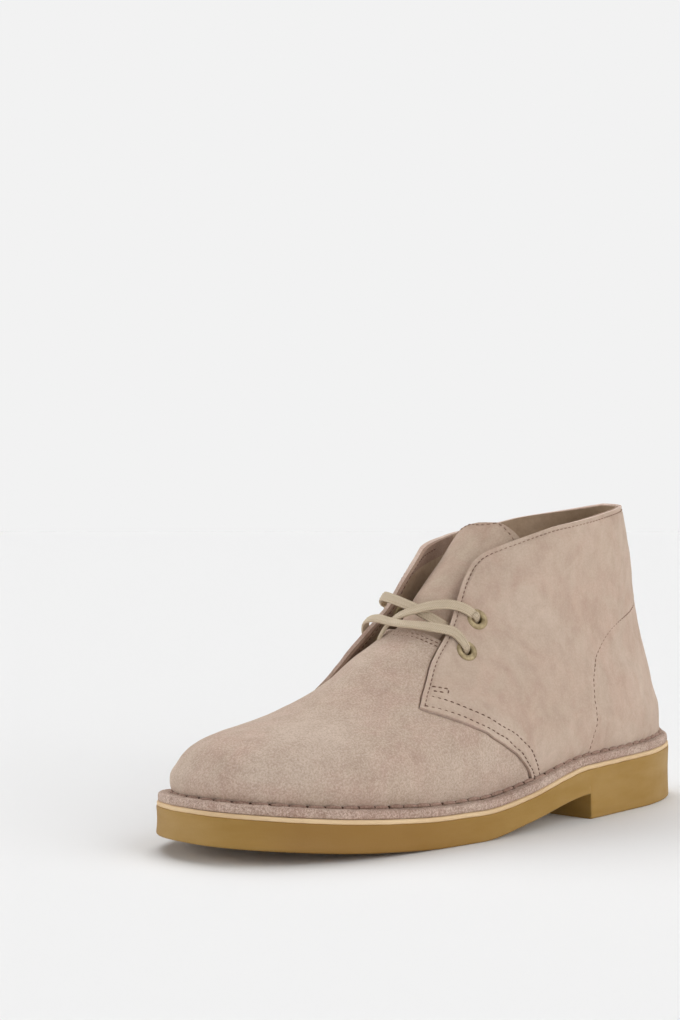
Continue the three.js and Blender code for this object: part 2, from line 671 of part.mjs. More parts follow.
// The tongue hangs behind the quarters and the vamp's top edge, arches between the open flaps and
// leans back towards its top.
function tongueGeometry() {
  const reach = columns(TONGUE, 'level');
  const bottom = TONGUE[0].level;
  const top = TONGUE[TONGUE.length - 1].level;
  const rows = 14;
  const across = 12;
  const crown = (turn, level) => smooth((turn - 0.95) / 0.2)
    * smooth((level - 1) / 0.35) * smooth((2 - level) / 0.3);
  const depth = (turn, level) => WALL + 2.5 * FIT
    + TONGUE_LEAN * smooth((level - 1) / (top - 1)) - TONGUE_CROWN * crown(turn, level);
  const grid = (extra) => Array.from({ length: rows + 1 }, (_, r) => {
    const level = mix(bottom, top, 1 - (1 - r / rows) ** 1.3);
    return Array.from({ length: across + 1 }, (__, c) => {
      const share = 1 - (2 * c) / across;
      const turn = 1 + share * (share > 0 ? reach.inner(level) : reach.outer(level));
      return offLast(turn, level, -depth(turn, level) - extra);
    });
  });
  return sheetSolid(grid(0), grid(TONGUE_THICK));
}

// A flat cord along a strand's points, lying on the last's surface.
function strandSolid(strand) {
  const places = strand.map((spot) => offLast(spot.turn, spot.level, spot.lift));
  const normals = strand.map((spot) => normalOf(turnPoint, spot.turn, spot.level));
  const path = new THREE.CatmullRomCurve3(places, false, 'centripetal');
  const upright = new THREE.CatmullRomCurve3(normals, false, 'centripetal');
  const steps = 4 * (strand.length - 1);
  const edge = LACE_THICK / 2;
  const wide = LACE_WIDTH / 2;
  const profilePoints = [
    [wide, 0], [wide - edge * 0.4, edge], [-wide + edge * 0.4, edge],
    [-wide, 0], [-wide + edge * 0.4, -edge], [wide - edge * 0.4, -edge],
  ];
  const loops = Array.from({ length: steps + 1 }, (_, i) => {
    const share = i / steps;
    const place = path.getPoint(share);
    const along = path.getTangent(share);
    const up = upright.getPoint(share).projectOnPlane(along).normalize();
    const across = new THREE.Vector3().crossVectors(along, up);
    return profilePoints.map(([w, t]) => place.clone().addScaledVector(across, w).addScaledVector(up, t));
  });
  const count = profilePoints.length;
  const triangles = [];
  for (let l = 0; l < steps; l += 1) {
    for (let i = 0; i < count; i += 1) {
      const j = (i + 1) % count;
      const [a, b, c, d] = [l * count + i, l * count + j, (l + 1) * count + j, (l + 1) * count + i];
      triangles.push(a, c, b, a, d, c);
    }
  }
  for (let i = 1; i + 1 < count; i += 1) {
    triangles.push(0, i, i + 1);
    triangles.push(steps * count, steps * count + i + 1, steps * count + i);
  }
  return toManifold(geometry(loops.flat(), triangles));
}

function laceGeometry() {
  return fromManifold(STRANDS.map(strandSolid).reduce((joined, strand) => joined.add(strand)));
}

const suede = new THREE.MeshStandardMaterial({ color: 0xb5a08f, roughness: 0.95, metalness: 0 });
const tongueSuede = new THREE.MeshStandardMaterial({ color: 0xab9786, roughness: 0.95, metalness: 0 });
const gumRubber = new THREE.MeshStandardMaterial({ color: 0xa3824e, roughness: 0.6, metalness: 0 });
const creamRubber = new THREE.MeshStandardMaterial({ color: 0xd9be93, roughness: 0.7, metalness: 0 });
const lining = new THREE.MeshStandardMaterial({ color: 0x5a4c38, roughness: 0.8, metalness: 0 });
const brass = new THREE.MeshStandardMaterial({ color: 0x7d6a3c, roughness: 0.4, metalness: 0.9 });
const cotton = new THREE.MeshStandardMaterial({ color: 0xbba98f, roughness: 0.9, metalness: 0 });

const boot = new THREE.Group();

function addPiece(name, shape, material) {
  const mesh = new THREE.Mesh(shape, material);
  mesh.name = name;
  boot.add(mesh);
}

addPiece('outsole', outsoleGeometry(), gumRubber);
addPiece('midsole', midsoleGeometry(), creamRubber);
addPiece('insole', insoleGeometry(), lining);
addPiece('upper', upperGeometry(), suede);
addPiece('tongue', tongueGeometry(), tongueSuede);
for (const eyelet of EYELETS) addPiece(eyelet.name, eyeletGeometry(eyelet), brass);
addPiece('lace', laceGeometry(), cotton);

// The sole is wider on its inner side, so the box's middle is brought to y 0.
const box = new THREE.Box3().setFromObject(boot);
for (const mesh of boot.children) mesh.geometry.translate(0, -(box.min.y + box.max.y) / 2, 0);

export default boot;
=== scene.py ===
"""Chukka boot, left foot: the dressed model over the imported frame.

The last is the same surface as in the part's source: around runs from the back seam (0) to the
front (1), turn runs on past the front along the inner side to the back seam (2), and level is 0
at the feather line, 1 at the vamp's top edge and 2 at the top of the back seam. Shapes are worked
out in millimetres and written in metres.
"""

import math
import random

import bmesh
import bpy
import numpy as np
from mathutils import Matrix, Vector, noise


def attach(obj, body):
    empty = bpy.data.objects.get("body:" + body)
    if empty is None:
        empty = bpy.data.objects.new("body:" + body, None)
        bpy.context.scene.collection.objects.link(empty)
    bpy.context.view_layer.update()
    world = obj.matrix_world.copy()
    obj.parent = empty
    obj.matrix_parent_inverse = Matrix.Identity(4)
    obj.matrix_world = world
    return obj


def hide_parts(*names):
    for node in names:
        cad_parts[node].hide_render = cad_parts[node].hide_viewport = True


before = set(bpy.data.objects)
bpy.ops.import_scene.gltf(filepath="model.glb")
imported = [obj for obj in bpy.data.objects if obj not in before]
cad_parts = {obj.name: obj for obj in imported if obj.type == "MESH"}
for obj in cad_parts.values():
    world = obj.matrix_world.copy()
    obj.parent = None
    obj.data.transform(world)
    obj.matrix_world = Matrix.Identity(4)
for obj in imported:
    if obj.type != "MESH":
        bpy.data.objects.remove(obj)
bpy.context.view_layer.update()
random.seed(7)

MM = 0.001
SHIFT_Y = 2.231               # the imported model's place across, from the sole's middle line

# The last, as in the part's source.
SOLE_LENGTH = 300.0
BALL_WIDTH = 104.0
INSTEP_HEIGHT = 69.0
COLLAR_HEIGHT = 113.0
ANKLE_WIDTH = 61.0
ANKLE_LEAN = 2.5
TOE_INWARD = 4.0
SOLE_THICK = 11.9
ARCH_HEIGHT = 11.2
TOE_SPRING = 7.9
HEEL_LENGTH = 101.0
BREAST_SLOPE = 1.2
MIDSOLE_THICK = 1.8
INSOLE_THICK = 3.0
WALL = 1.9
OVERLAP_STEP = 1.0
FLANGE_THICK = 2.0
FLANGE_INSET = 0.8
FLARE_OUTER = 1.5
FLARE_INNER = 8.0
FLAP = dict(around=0.5, around_span=0.36, level=0.5, level_span=0.55)
# The inner flap is soft: level, and how much further out it stands there than the solid.
FLAP_SOFT = [(0.0, 0.0), (0.54, 0.0), (0.60, 2.1), (0.70, 2.5), (0.76, 2.0), (0.86, 1.0), (0.94, 0.6),
             (1.02, -0.4), (1.2, -1.1), (1.5, -0.6), (2.2, 0.0)]
FIT = 0.3
TONGUE_THICK = 1.8
TONGUE_LEAN = 2.6
TONGUE_CROWN = 1.6
TONGUE_STITCHES = 0.09        # its stitches in from its edge, as a share of its half width
EYELET_RADIUS = 4.8
EYELET_BORE = 2.1
LACE_WIDTH = 4.6
LACE_THICK = 1.3
INNER_TOE = 0.087

PLAN = np.array([
    (0.00, 0.308, 0.327), (0.13, 0.335, 0.341), (0.38, 0.419, 0.317),
    (0.62, 0.476, 0.500), (0.78, 0.476, 0.481), (1.00, 0.423, 0.423),
])
ENDS = dict(heel_round=0.19, heel_power=1.9, toe_round=0.743, toe_power=2.4)
PROFILE = np.array([
    (0.000, 0.98, 0.00, 1.21), (0.336, 1.00, 0.00, 1.00), (0.500, 0.38, 0.00, 0.91),
    (0.610, 0.00, 0.00, 0.99), (0.670, 0.00, 0.00, 1.00), (0.800, 0.00, 0.26, 1.02),
    (1.000, 0.00, 0.92, 1.06),
])
SECTIONS = np.array([
    (0.000, -0.481, 0.477, 0.86, 0.00, 0.24, 0.74, 2.25),
    (0.116, -0.478, 0.485, 0.92, 0.00, 0.24, 0.73, 2.25),
    (0.217, -0.474, 0.474, 0.94, 0.00, 0.25, 0.71, 2.20),
    (0.290, -0.465, 0.462, 0.94, 0.05, 0.25, 0.68, 2.10),
    (0.362, -0.458, 0.434, 0.93, 0.08, 0.26, 0.64, 2.00),
    (0.435, -0.453, 0.379, 0.92, 0.12, 0.27, 0.60, 2.00),
    (0.522, -0.448, 0.315, 0.89, 0.20, 0.29, 0.55, 2.00),
    (0.652, -0.438, 0.243, 0.85, 0.40, 0.32, 0.50, 2.00),
    (0.826, -0.426, 0.180, 0.82, 0.70, 0.36, 0.45, 2.00),
    (1.000, -0.418, 0.108, 0.80, 0.90, 0.42, 0.42, 2.00),
    (1.364, -0.411, 0.040, 0.80, 1.00, 0.48, 0.44, 2.00),
    (1.705, -0.395, -0.020, 0.80, 1.00, 0.52, 0.46, 2.00),
    (2.200, -0.364, -0.093, 0.80, 1.00, 0.54, 0.50, 2.00),
])
SEAM = np.array([
    (0.482, 0.000), (0.492, 0.105), (0.511, 0.205), (0.535, 0.308), (0.570, 0.390), (0.618, 0.455),
    (0.675, 0.515), (0.735, 0.568), (0.753, 0.652), (0.766, 0.760), (0.792, 0.942),
])
SEAM_CORNER = 7
THROAT = np.array([(1.000, 1.030), (0.920, 1.021), (0.843, 0.980), (0.792, 0.942)])
RIM = np.array([
    (0.792, 0.942, 0.942), (0.805, 1.020, 1.020), (0.823, 1.150, 1.140), (0.840, 1.300, 1.270),
    (0.856, 1.440, 1.390), (0.862, 1.540, 1.480), (0.850, 1.620, 1.560), (0.810, 1.675, 1.620),
    (0.745, 1.725, 1.670), (0.660, 1.780, 1.715), (0.565, 1.830, 1.750), (0.470, 1.885, 1.800),
    (0.375, 1.930, 1.860), (0.280, 1.960, 1.897), (0.185, 1.978, 1.930), (0.090, 1.986, 1.962),
    (0.000, 1.990, 1.990),
])
TONGUE = np.array([
    (0.760, 0.170, 0.170), (1.000, 0.190, 0.200), (1.300, 0.220, 0.230), (1.600, 0.260, 0.250),
    (1.757, 0.273, 0.250), (1.807, 0.253, 0.240), (1.884, 0.210, 0.200), (1.952, 0.159, 0.130),
    (1.990, 0.110, 0.065), (2.007, 0.040, 0.015),
])
EYELETS = {
    "eyelet_outer_lower": (0.709, 0.862), "eyelet_outer_upper": (0.737, 1.045),
    "eyelet_inner_lower": (2 - 0.709, 0.862), "eyelet_inner_upper": (2 - 0.737, 1.045),
}


def mix(start, end, share):
    return start + (end - start) * share


def smooth(share):
    share = np.clip(share, 0, 1)
    return share * share * (3 - 2 * share)


def hermite(i, share, step, value, tangent):
    """Values between rows i and i + 1 of a table with a tangent at each row."""
    ends = value[i] * (1 + 2 * share) * (1 - share) ** 2 + value[i + 1] * share * share * (3 - 2 * share)
    bend = tangent[i] * share * (1 - share) ** 2 - tangent[i + 1] * share * share * (1 - share)
    return ends + step * bend


def curve(at, value):
    """A smooth curve through the points that never overshoots them."""
    at, value = np.asarray(at, float), np.asarray(value, float)
    step = np.diff(at)
    slope = np.diff(value) / step
    tangent = np.concatenate([slope[:1], np.zeros(len(at) - 2), slope[-1:]])
    for i in range(1, len(at) - 1):
        if slope[i - 1] * slope[i] > 0:
            before = 2 * step[i] + step[i - 1]
            after = step[i] + 2 * step[i - 1]
            tangent[i] = (before + after) / (before / slope[i - 1] + after / slope[i])

    def value_at(x):
        x = np.clip(x, at[0], at[-1])
        i = np.clip(np.searchsorted(at, x, side="left") - 1, 0, len(at) - 2)
        return hermite(i, (x - at[i]) / step[i], step[i], value, tangent)

    return value_at


def table(rows):
    return [curve(rows[:, 0], rows[:, i]) for i in range(1, rows.shape[1])]


plan_outer, plan_inner = table(PLAN)
arch_share, spring_share, thick_share = table(PROFILE)
back_at, front_at, full_at, ankle_at, heel_round_at, toe_round_at, power_at = table(SECTIONS)
tongue_outer, tongue_inner = table(TONGUE)


def caps(share, heel_round, heel_power, toe_round, toe_power):
    """1 along the middle of an outline, falling to 0 at both ends as two rounded caps."""
    heel = 1 - np.clip((heel_round - share) / heel_round, 0, 1) ** heel_power
    toe = 1 - np.clip((share - toe_round) / (1 - toe_round), 0, 1) ** toe_power
    return heel ** (1 / heel_power) * toe ** (1 / toe_power)


def length_share(x):
    return np.clip(x / SOLE_LENGTH + 0.5, 0, 1)


def along_share(around):
    return 0.5 - 0.5 * np.cos(np.pi * around)


def middle(x):
    return -TOE_INWARD * smooth((length_share(x) - 0.45) / 0.55)


def half_width(x, side):
    share = length_share(x)
    return BALL_WIDTH * np.where(side > 0, plan_outer(share), plan_inner(share))


def underside(x):
    share = length_share(x)
    return ARCH_HEIGHT * arch_share(share) + TOE_SPRING * spring_share(share)


def sole_top(x):
    return underside(x) + SOLE_THICK * thick_share(length_share(x))


def midsole_top(x):
    return sole_top(x) + FIT + MIDSOLE_THICK


def feather(x):
    return midsole_top(x) + FIT + FLANGE_THICK


def level_height(level):
    upper = INSTEP_HEIGHT + (level - 1) * (COLLAR_HEIGHT - INSTEP_HEIGHT)
    return np.where(level <= 1, level * INSTEP_HEIGHT, upper)


def split_turn(turn):
    """Around, and side: 1 on the outer side and -1 on the inner one."""
    wrapped = np.mod(turn, 2)
    return np.where(wrapped <= 1, wrapped, 2 - wrapped), np.where(wrapped <= 1, 1.0, -1.0)


def sole_edge(turn, inset):
    """Edge of the sole seen from above, moved inwards by inset."""
    def point(at):
        around, side = split_turn(at)
        share = along_share(around)
        x = (share - 0.5) * SOLE_LENGTH
        toe_round = ENDS["toe_round"] + np.where(side < 0, INNER_TOE, 0)
        cap = caps(share, ENDS["heel_round"], ENDS["heel_power"], toe_round, ENDS["toe_power"])
        return np.stack([x, middle(x) + side * half_width(x, side) * cap], -1)

    turn = np.asarray(turn, float)
    along = point(turn + 1e-3) - point(turn - 1e-3)
    along /= np.linalg.norm(along, axis=-1, keepdims=True)
    inward = np.stack([along[..., 1], -along[..., 0]], -1)
    return point(turn) + inward * np.asarray(inset)[..., None]


def last_point(turn, level):
    """A point of the last's surface."""
    turn, level = np.broadcast_arrays(np.asarray(turn, float), np.asarray(level, float))
    around, side = split_turn(turn)
    share = along_share(around)
    x = SOLE_LENGTH * mix(back_at(level), front_at(level), share)
    ankle = ankle_at(level)
    width = mix(half_width(x, side) * full_at(level), ANKLE_WIDTH / 2, ankle)
    toe_round = toe_round_at(level) + np.where(side < 0, INNER_TOE * (1 - ankle), 0)
    cap = caps(share, heel_round_at(level), 2, toe_round, power_at(level))
    y = middle(x) * (1 - 0.5 * ankle) - ANKLE_LEAN * ankle + side * width * cap
    return np.stack([x, y, feather(x) + level_height(level)], -1)


def unit(vectors):
    return vectors / np.maximum(np.linalg.norm(vectors, axis=-1, keepdims=True), 1e-9)


def last_normal(turn, level):
    """The way out of the last's surface."""
    around = last_point(turn + 2e-3, level) - last_point(turn - 2e-3, level)
    low = np.maximum(0, np.asarray(level, float) - 5e-3)
    up = last_point(turn, low + 1e-2) - last_point(turn, low)
    return unit(np.cross(up, around))


def off_last(turn, level, lift):
    """A point off the last, outwards by lift."""
    turn, level, lift = np.broadcast_arrays(
        np.asarray(turn, float), np.asarray(level, float), np.asarray(lift, float))
    return last_point(turn, level) + last_normal(turn, level) * lift[..., None]


flap_soft = curve(*np.array(FLAP_SOFT).T)


def quarter_lift(turn, level):
    """How far a quarter stands off the last: its step over the vamp and its front edge bent open."""
    around, side = split_turn(turn)
    reach = smooth((around - FLAP["around"]) / FLAP["around_span"])
    open_ = reach * smooth((level - FLAP["level"]) / FLAP["level_span"])
    soft = np.where(side > 0, 0, flap_soft(level) * smooth((around - 0.58) / 0.14))
    return OVERLAP_STEP + np.where(side > 0, FLARE_OUTER, FLARE_INNER) * open_ + soft


# Lines and grids on the last.
def two_part(rows, corner, name):
    """A curve along a table's row numbers that keeps a sharp bend at one row."""
    low = curve(np.arange(corner + 1), rows[:corner + 1, name])
    high = curve(np.arange(corner, len(rows)), rows[corner:, name])
    return lambda share: np.where(
        share * (len(rows) - 1) <= corner, low(share * (len(rows) - 1)), high(share * (len(rows) - 1)))


seam_around, seam_level = two_part(SEAM, SEAM_CORNER, 0), two_part(SEAM, SEAM_CORNER, 1)
throat_rows = np.arange(len(THROAT)) / (len(THROAT) - 1)
throat_around, throat_level = curve(throat_rows, THROAT[:, 0]), curve(throat_rows, THROAT[:, 1])
rim_rows = np.arange(len(RIM))
rim_around, rim_outer, rim_inner = (curve(rim_rows, RIM[:, i]) for i in range(3))
RIM_LAST = len(RIM) - 1


def vamp_map(share, rise):
    """Turn and level of a place on the vamp's outer half: share 0 at the front, 1 at the seam."""
    inside = np.clip(share, 0, 1)
    around = mix(1, seam_around(rise), share)
    around = around + rise * (throat_around(inside) - mix(1, THROAT[-1, 0], inside))
    level = mix(THROAT[0, 1] * rise, seam_level(rise), inside)
    level = level + rise * (throat_level(inside) - mix(THROAT[0, 1], THROAT[-1, 1], inside))
    return around, level


def quarter_map(index, rise, side):
    """Turn and level of a place on a quarter: index 0 at the seam, RIM_LAST at the back."""
    top_level = rim_outer(index) if side > 0 else rim_inner(index)
    follow = np.maximum(0, 1 - index / 7) ** 2
    around = mix(SEAM[0, 0] * (1 - index / RIM_LAST), rim_around(index), rise)
    around = around + follow * (seam_around(rise) - mix(SEAM[0, 0], SEAM[-1, 0], rise))
    level = top_level * rise + follow * (seam_level(rise) - SEAM[-1, 1] * rise)
    return (around if side > 0 else 2 - around), level


def run_length(points):
    """Length along a line at each of its points."""
    steps = np.linalg.norm(np.diff(points, axis=0), axis=-1)
    return np.concatenate([[0], np.cumsum(steps)])


def at_run(places, run, line):
    """Points of a line at some lengths along it."""
    return np.stack([np.interp(places, run, column) for column in line.T], -1)


def even(points_of, count, low=0.0, high=1.0):
    """Parameters that space the points of a line evenly."""
    fine = np.linspace(low, high, 801)
    run = run_length(points_of(fine))
    return np.interp(np.linspace(0, run[-1], count), run, fine)


def uneven(points):
    """Small slow unevenness of soft leather, in millimetres."""
    flat = points.reshape(-1, 3)
    rise = [noise.noise(Vector(p) * 0.045) * 0.5 + noise.noise(Vector(p) * 0.15) * 0.16 for p in flat]
    return np.array(rise).reshape(points.shape[:-1])


def valley(points, line, width, depth):
    """Depth of a soft groove along a line, at each point."""
    flat = points.reshape(-1, 3)
    best = np.full(len(flat), np.inf)
    for part in np.array_split(line, math.ceil(len(line) / 60)):
        gap = np.linalg.norm(flat[:, None, :] - part[None, :, :], axis=-1).min(axis=1)
        best = np.minimum(best, gap)
    return (depth * np.exp(-(best / width) ** 2)).reshape(points.shape[:-1])


# Meshes.
def solid(name, points, faces, material, nodes=(), sharp=50, kinds=None):
    """A piece from points in millimetres, smooth but for edges sharper than sharp degrees.

    Where material is a list, kinds tells each face which one it has.
    """
    points = np.asarray(points, float).reshape(-1, 3) * MM
    points[:, 1] += SHIFT_Y * MM
    mesh = bpy.data.meshes.new(name)
    mesh.from_pydata(points.tolist(), [], faces)
    if kinds is not None:
        mesh.polygons.foreach_set("material_index", kinds)
    work = bmesh.new()
    work.from_mesh(mesh)
    bmesh.ops.remove_doubles(work, verts=work.verts, dist=1e-7)
    bmesh.ops.recalc_face_normals(work, faces=work.faces)
    limit = math.radians(sharp)
    for edge in work.edges:
        edge.smooth = len(edge.link_faces) == 2 and edge.calc_face_angle(0) < limit
    for face in work.faces:
        face.smooth = True
    work.to_mesh(mesh)
    work.free()
    for one in material if isinstance(material, list) else [material]:
        mesh.materials.append(one)
    piece = bpy.data.objects.new(name, mesh)
    bpy.context.collection.objects.link(piece)
    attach(piece, "root")
    if nodes:
        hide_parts(*nodes)
    return piece


def grid_faces(rows, columns, offset=0, closed=False):
    """Faces of a grid of points; where it is closed, its last column joins the first."""
    r, c = np.meshgrid(np.arange(rows - 1), np.arange(columns if closed else columns - 1), indexing="ij")
    a = offset + r * columns + c
    b = offset + r * columns + (c + 1) % columns
    return np.stack([a, b, b + columns, a + columns], -1).reshape(-1, 4).tolist()


def sheet_faces(rows, columns):
    """Faces of a closed sheet of two grids, the first ones outside, then inside, then the border."""
    back = rows * columns
    border = list(range(columns))
    border += [r * columns + columns - 1 for r in range(1, rows)]
    border += [(rows - 1) * columns + c for c in range(columns - 2, -1, -1)]
    border += [r * columns for r in range(rows - 2, -1, -1)]
    rim = [[p, q, back + q, back + p] for p, q in zip(border, border[1:])]
    return grid_faces(rows, columns) + grid_faces(rows, columns, back) + rim


def tube_faces(count, sides, offset=0):
    """Faces of a tube of count rings, closed at both ends."""
    ends = [[offset + row * sides + i for i in range(sides)] for row in (0, count - 1)]
    return grid_faces(count, sides, offset, True) + ends


def sheet(name, outer, inner, material, nodes, edge=0.35, facing=None):
    """A closed sheet between two grids; a second material goes to its cut edge and its facing."""
    rows, columns = outer.shape[:2]
    faces = sheet_faces(rows, columns)
    kinds = None
    if isinstance(material, list):
        flat = (rows - 1) * (columns - 1)
        inside = [0] * flat if facing is None else facing.ravel().astype(int).tolist()
        kinds = [0] * flat + inside + [1] * (len(faces) - 2 * flat)
    points = np.concatenate([outer.reshape(-1, 3), inner.reshape(-1, 3)])
    piece = solid(name, points, faces, material, nodes, kinds=kinds)
    bevel = piece.modifiers.new("edges", "BEVEL")
    bevel.width = edge * MM
    bevel.segments = 2
    bevel.limit_method = "ANGLE"
    bevel.angle_limit = math.radians(50)
    return piece


def ring(name, loops, material, nodes, sharp):
    """A closed band: each loop runs right round the boot, and the last joins the first."""
    count, around = np.shape(loops)[:2]
    last = (count - 1) * around
    faces = grid_faces(count, around, 0, True)
    faces += [[last + i, last + (i + 1) % around, (i + 1) % around, i] for i in range(around)]
    return solid(name, loops, faces, material, nodes, sharp)


def slab(name, turns, layers, material, nodes, sharp):
    """A slab over the sole's plan: turns from 0 to 1, and layers of points from the bottom up."""
    last = len(turns) - 1
    around = np.concatenate([turns, (2 - turns[1:last])[::-1]])
    count = len(around)
    faces = grid_faces(len(layers), count, 0, True)
    for start in (0, (len(layers) - 1) * count):
        for i in range(last):
            quad = [i, i + 1, (count - i - 1) % count, (count - i) % count]
            faces.append([start + v for v in dict.fromkeys(quad)])
    points = np.concatenate([layer(around) for layer in layers])
    return solid(name, points, faces, material, nodes, sharp)


THREAD_TURN = np.array([0.31, 0.17, 0.93])      # any way that no thread runs along
# A stitch from end to end: where its rings are, how far they rise and how thick they are.
STITCH_PLACES = np.array([0.0, 0.12, 0.35, 0.65, 0.88, 1.0])
STITCH_LIFT = np.array([-0.5, 0.02, 0.2, 0.2, 0.02, -0.5])
STITCH_GIRTH = np.array([0.55, 0.9, 1.0, 1.0, 0.9, 0.55])


class Threads:
    """Closed threads, thinner at both ends, that are joined into one piece."""

    def __init__(self):
        self.points, self.faces, self.kinds = [], [], []

    def add(self, centres, radius, sides=6, kind=0):
        """A thread along its centres, with a radius at each; kind is the number of its material."""
        along = unit(np.gradient(centres, axis=0))
        side = unit(np.cross(along, THREAD_TURN))
        up = np.cross(side, along)
        angle = (np.arange(sides) * 2 * np.pi / sides)[None, :, None]
        ways = np.cos(angle) * side[:, None, :] + np.sin(angle) * up[:, None, :]
        faces = tube_faces(len(centres), sides, sum(len(some) for some in self.points))
        self.points.append((centres[:, None, :] + radius[:, None, None] * ways).reshape(-1, 3))
        self.faces += faces
        self.kinds += [kind] * len(faces)

    def join(self, name, material):
        points = np.concatenate(self.points)
        return solid(name, points, self.faces, material, sharp=80, kinds=self.kinds)


def stitches(name, rows, surface, sink, pitch, length, thick, material, facing=1):
    """Stitches along rows of places on a surface of the last, sunk into it; facing is -1 on its inside."""
    threads = Threads()
    for row in rows:
        line = surface(row[:, 0], row[:, 1], -sink)
        normals = facing * last_normal(row[:, 0], row[:, 1])
        run = run_length(line)
        count = max(1, int(run[-1] / pitch))
        for k in range(count):
            start = (k + 0.5) * run[-1] / count - length / 2
            places = start + length * STITCH_PLACES
            out = unit(at_run(places, run, normals))
            lift = STITCH_LIFT * thick * 1.5 + random.uniform(-0.04, 0.04)
            threads.add(at_run(places, run, line) + out * lift[:, None], thick / 2 * STITCH_GIRTH)
    threads.join(name, material)


# Materials.
class Nodes:
    """A short way to write a node tree."""

    def __init__(self, name):
        self.material = bpy.data.materials.new(name)
        self.material.use_nodes = True
        self.tree = self.material.node_tree
        self.shader = self.tree.nodes["Principled BSDF"]
        self.place = self.add("ShaderNodeTexCoord").outputs["Object"]

    def put(self, value, socket):
        """Links a socket to another one, or gives it a number, a vector or a colour."""
        if isinstance(value, bpy.types.NodeSocket):
            self.tree.links.new(value, socket)
        elif isinstance(value, tuple) and len(value) < len(socket.default_value):
            socket.default_value = (*value, 1.0)
        else:
            socket.default_value = value

    def add(self, kind, inputs=None, **settings):
        node = self.tree.nodes.new(kind)
        for key, value in settings.items():
            setattr(node, key, value)
        for key, value in (inputs or {}).items():
            self.put(value, node.inputs[key])
        return node

    def stretch(self, scale, turn=(0, 0, 0), place=None):
        return self.add("ShaderNodeMapping", {
            "Scale": scale, "Rotation": turn, "Vector": place or self.place}).outputs["Vector"]

    def noise(self, scale, detail=3.0, roughness=0.5, place=None, distortion=0.0):
        return self.add("ShaderNodeTexNoise", {
            "Scale": scale, "Detail": detail, "Roughness": roughness, "Distortion": distortion,
            "Vector": place or self.place}).outputs["Fac"]

    def spread(self, value, low, high, to_low=0.0, to_high=1.0):
        return self.add("ShaderNodeMapRange", {
            "Value": value, "From Min": low, "From Max": high, "To Min": to_low, "To Max": to_high,
        }).outputs["Result"]

    def blend(self, share, first, second):
        return self.add("ShaderNodeMix", {"Factor": share, 6: first, 7: second}, data_type="RGBA").outputs[2]

    def math(self, how, first, second):
        return self.add("ShaderNodeMath", {0: first, 1: second}, operation=how).outputs[0]

    def times(self, first, second):
        return self.math("MULTIPLY", first, second)

    def bump(self, height, strength, distance, **after):
        return self.add("ShaderNodeBump", {
            "Strength": strength, "Distance": distance, "Height": height, **after}).outputs["Normal"]

    def finish(self, colour, rough, normal, **inputs):
        for key, value in {"Base Color": colour, "Roughness": rough, "Normal": normal}.items():
            self.put(value, self.shader.inputs[key])
        for key, value in inputs.items():
            self.shader.inputs[key.replace("_", " ").title().replace("Ior", "IOR")].default_value = value
        return self.material


def srgb(red, green, blue):
    """A colour as seen on a screen, 0 to 255, as linear numbers."""
    return tuple(c / 12.92 if c <= 0.04045 else ((c + 0.055) / 1.055) ** 2.4
                 for c in (red / 255, green / 255, blue / 255))


def suede_material(name, dark, base, light, rosy, nap=1.0):
    """Suede: broad rosy and pale patches, strokes of the brushed nap, and a fine grain."""
    dark, base, light, rosy = srgb(*dark), srgb(*base), srgb(*light), srgb(*rosy)
    t = Nodes(name)
    patches = t.spread(t.noise(20, 3, 0.55), 0.38, 0.62)
    blush = t.spread(t.noise(42, 4, 0.6, t.stretch((1, 1, 1), (0.9, 0.3, 0.5)), 0.8), 0.42, 0.62)
    clouds = t.spread(t.noise(100, 4, 0.6, distortion=0.5), 0.34, 0.66)
    brushed = t.spread(t.noise(170, 3, 0.6, t.stretch((1, 1, 0.45), (0.3, 0.2, 0.4))), 0.32, 0.68)
    grain = t.noise(1250, 3, 0.8)
    fibres = t.noise(2800, 2, 0.7)
    colour = t.blend(t.times(patches, 0.6), base, light)
    colour = t.blend(t.times(blush, 0.85), colour, rosy)
    colour = t.blend(t.times(clouds, 0.4), colour, dark)
    colour = t.blend(t.times(brushed, 0.34), colour, light)
    colour = t.blend(t.spread(grain, 0.42, 0.72, 0.0, 0.6 * nap), colour, dark)
    colour = t.blend(t.spread(grain, 0.5, 0.28, 0.0, 0.5 * nap), colour, light)
    height = t.math("ADD", t.times(brushed, 0.3), t.math("ADD", grain, fibres))
    normal = t.bump(height, 0.5 * nap, 0.00024)
    rough = t.spread(clouds, 0, 1, 0.86, 0.99)
    return t.finish(colour, rough, normal, sheen_weight=0.22, sheen_roughness=0.45,
                    sheen_tint=(*srgb(236, 222, 210), 1.0), specular_ior_level=0.18)


def rubber_material(name, dark, base, light, grain, rough_low, rough_high, painted_shade=None):
    """Moulded rubber, with painted shade darkening it along the ball of the foot when a shade colour is
    given.
    """
    dark, base, light = srgb(*dark), srgb(*base), srgb(*light)
    t = Nodes(name)
    clouds = t.spread(t.noise(34, 3, 0.55, t.stretch((1, 1, 2.2))), 0.32, 0.68)
    streaks = t.spread(t.noise(120, 4, 0.6, t.stretch((0.35, 0.35, 2.0))), 0.3, 0.7)
    specks = t.spread(t.noise(1500, 2, 0.6), 0.45, 0.7)
    colour = t.blend(t.times(clouds, 0.6), base, dark)
    colour = t.blend(t.times(streaks, 0.35), colour, light)
    colour = t.blend(t.times(specks, 0.16), colour, dark)
    # painted shade: the front of the sole, which gets less light, is darkened over the ball of the foot
    if painted_shade is not None:
        along = t.add("ShaderNodeSeparateXYZ", {"Vector": t.place}).outputs["X"]
        ball = t.times(t.spread(along, 0.0, 0.075), t.spread(along, 0.15, 0.125))
        colour = t.blend(t.times(ball, 0.8), colour, srgb(*painted_shade))
    normal = t.bump(t.noise(grain, 3, 0.6), 0.35, 0.00012)
    return t.finish(colour, t.spread(clouds, 0, 1, rough_low, rough_high), normal, specular_ior_level=0.32)


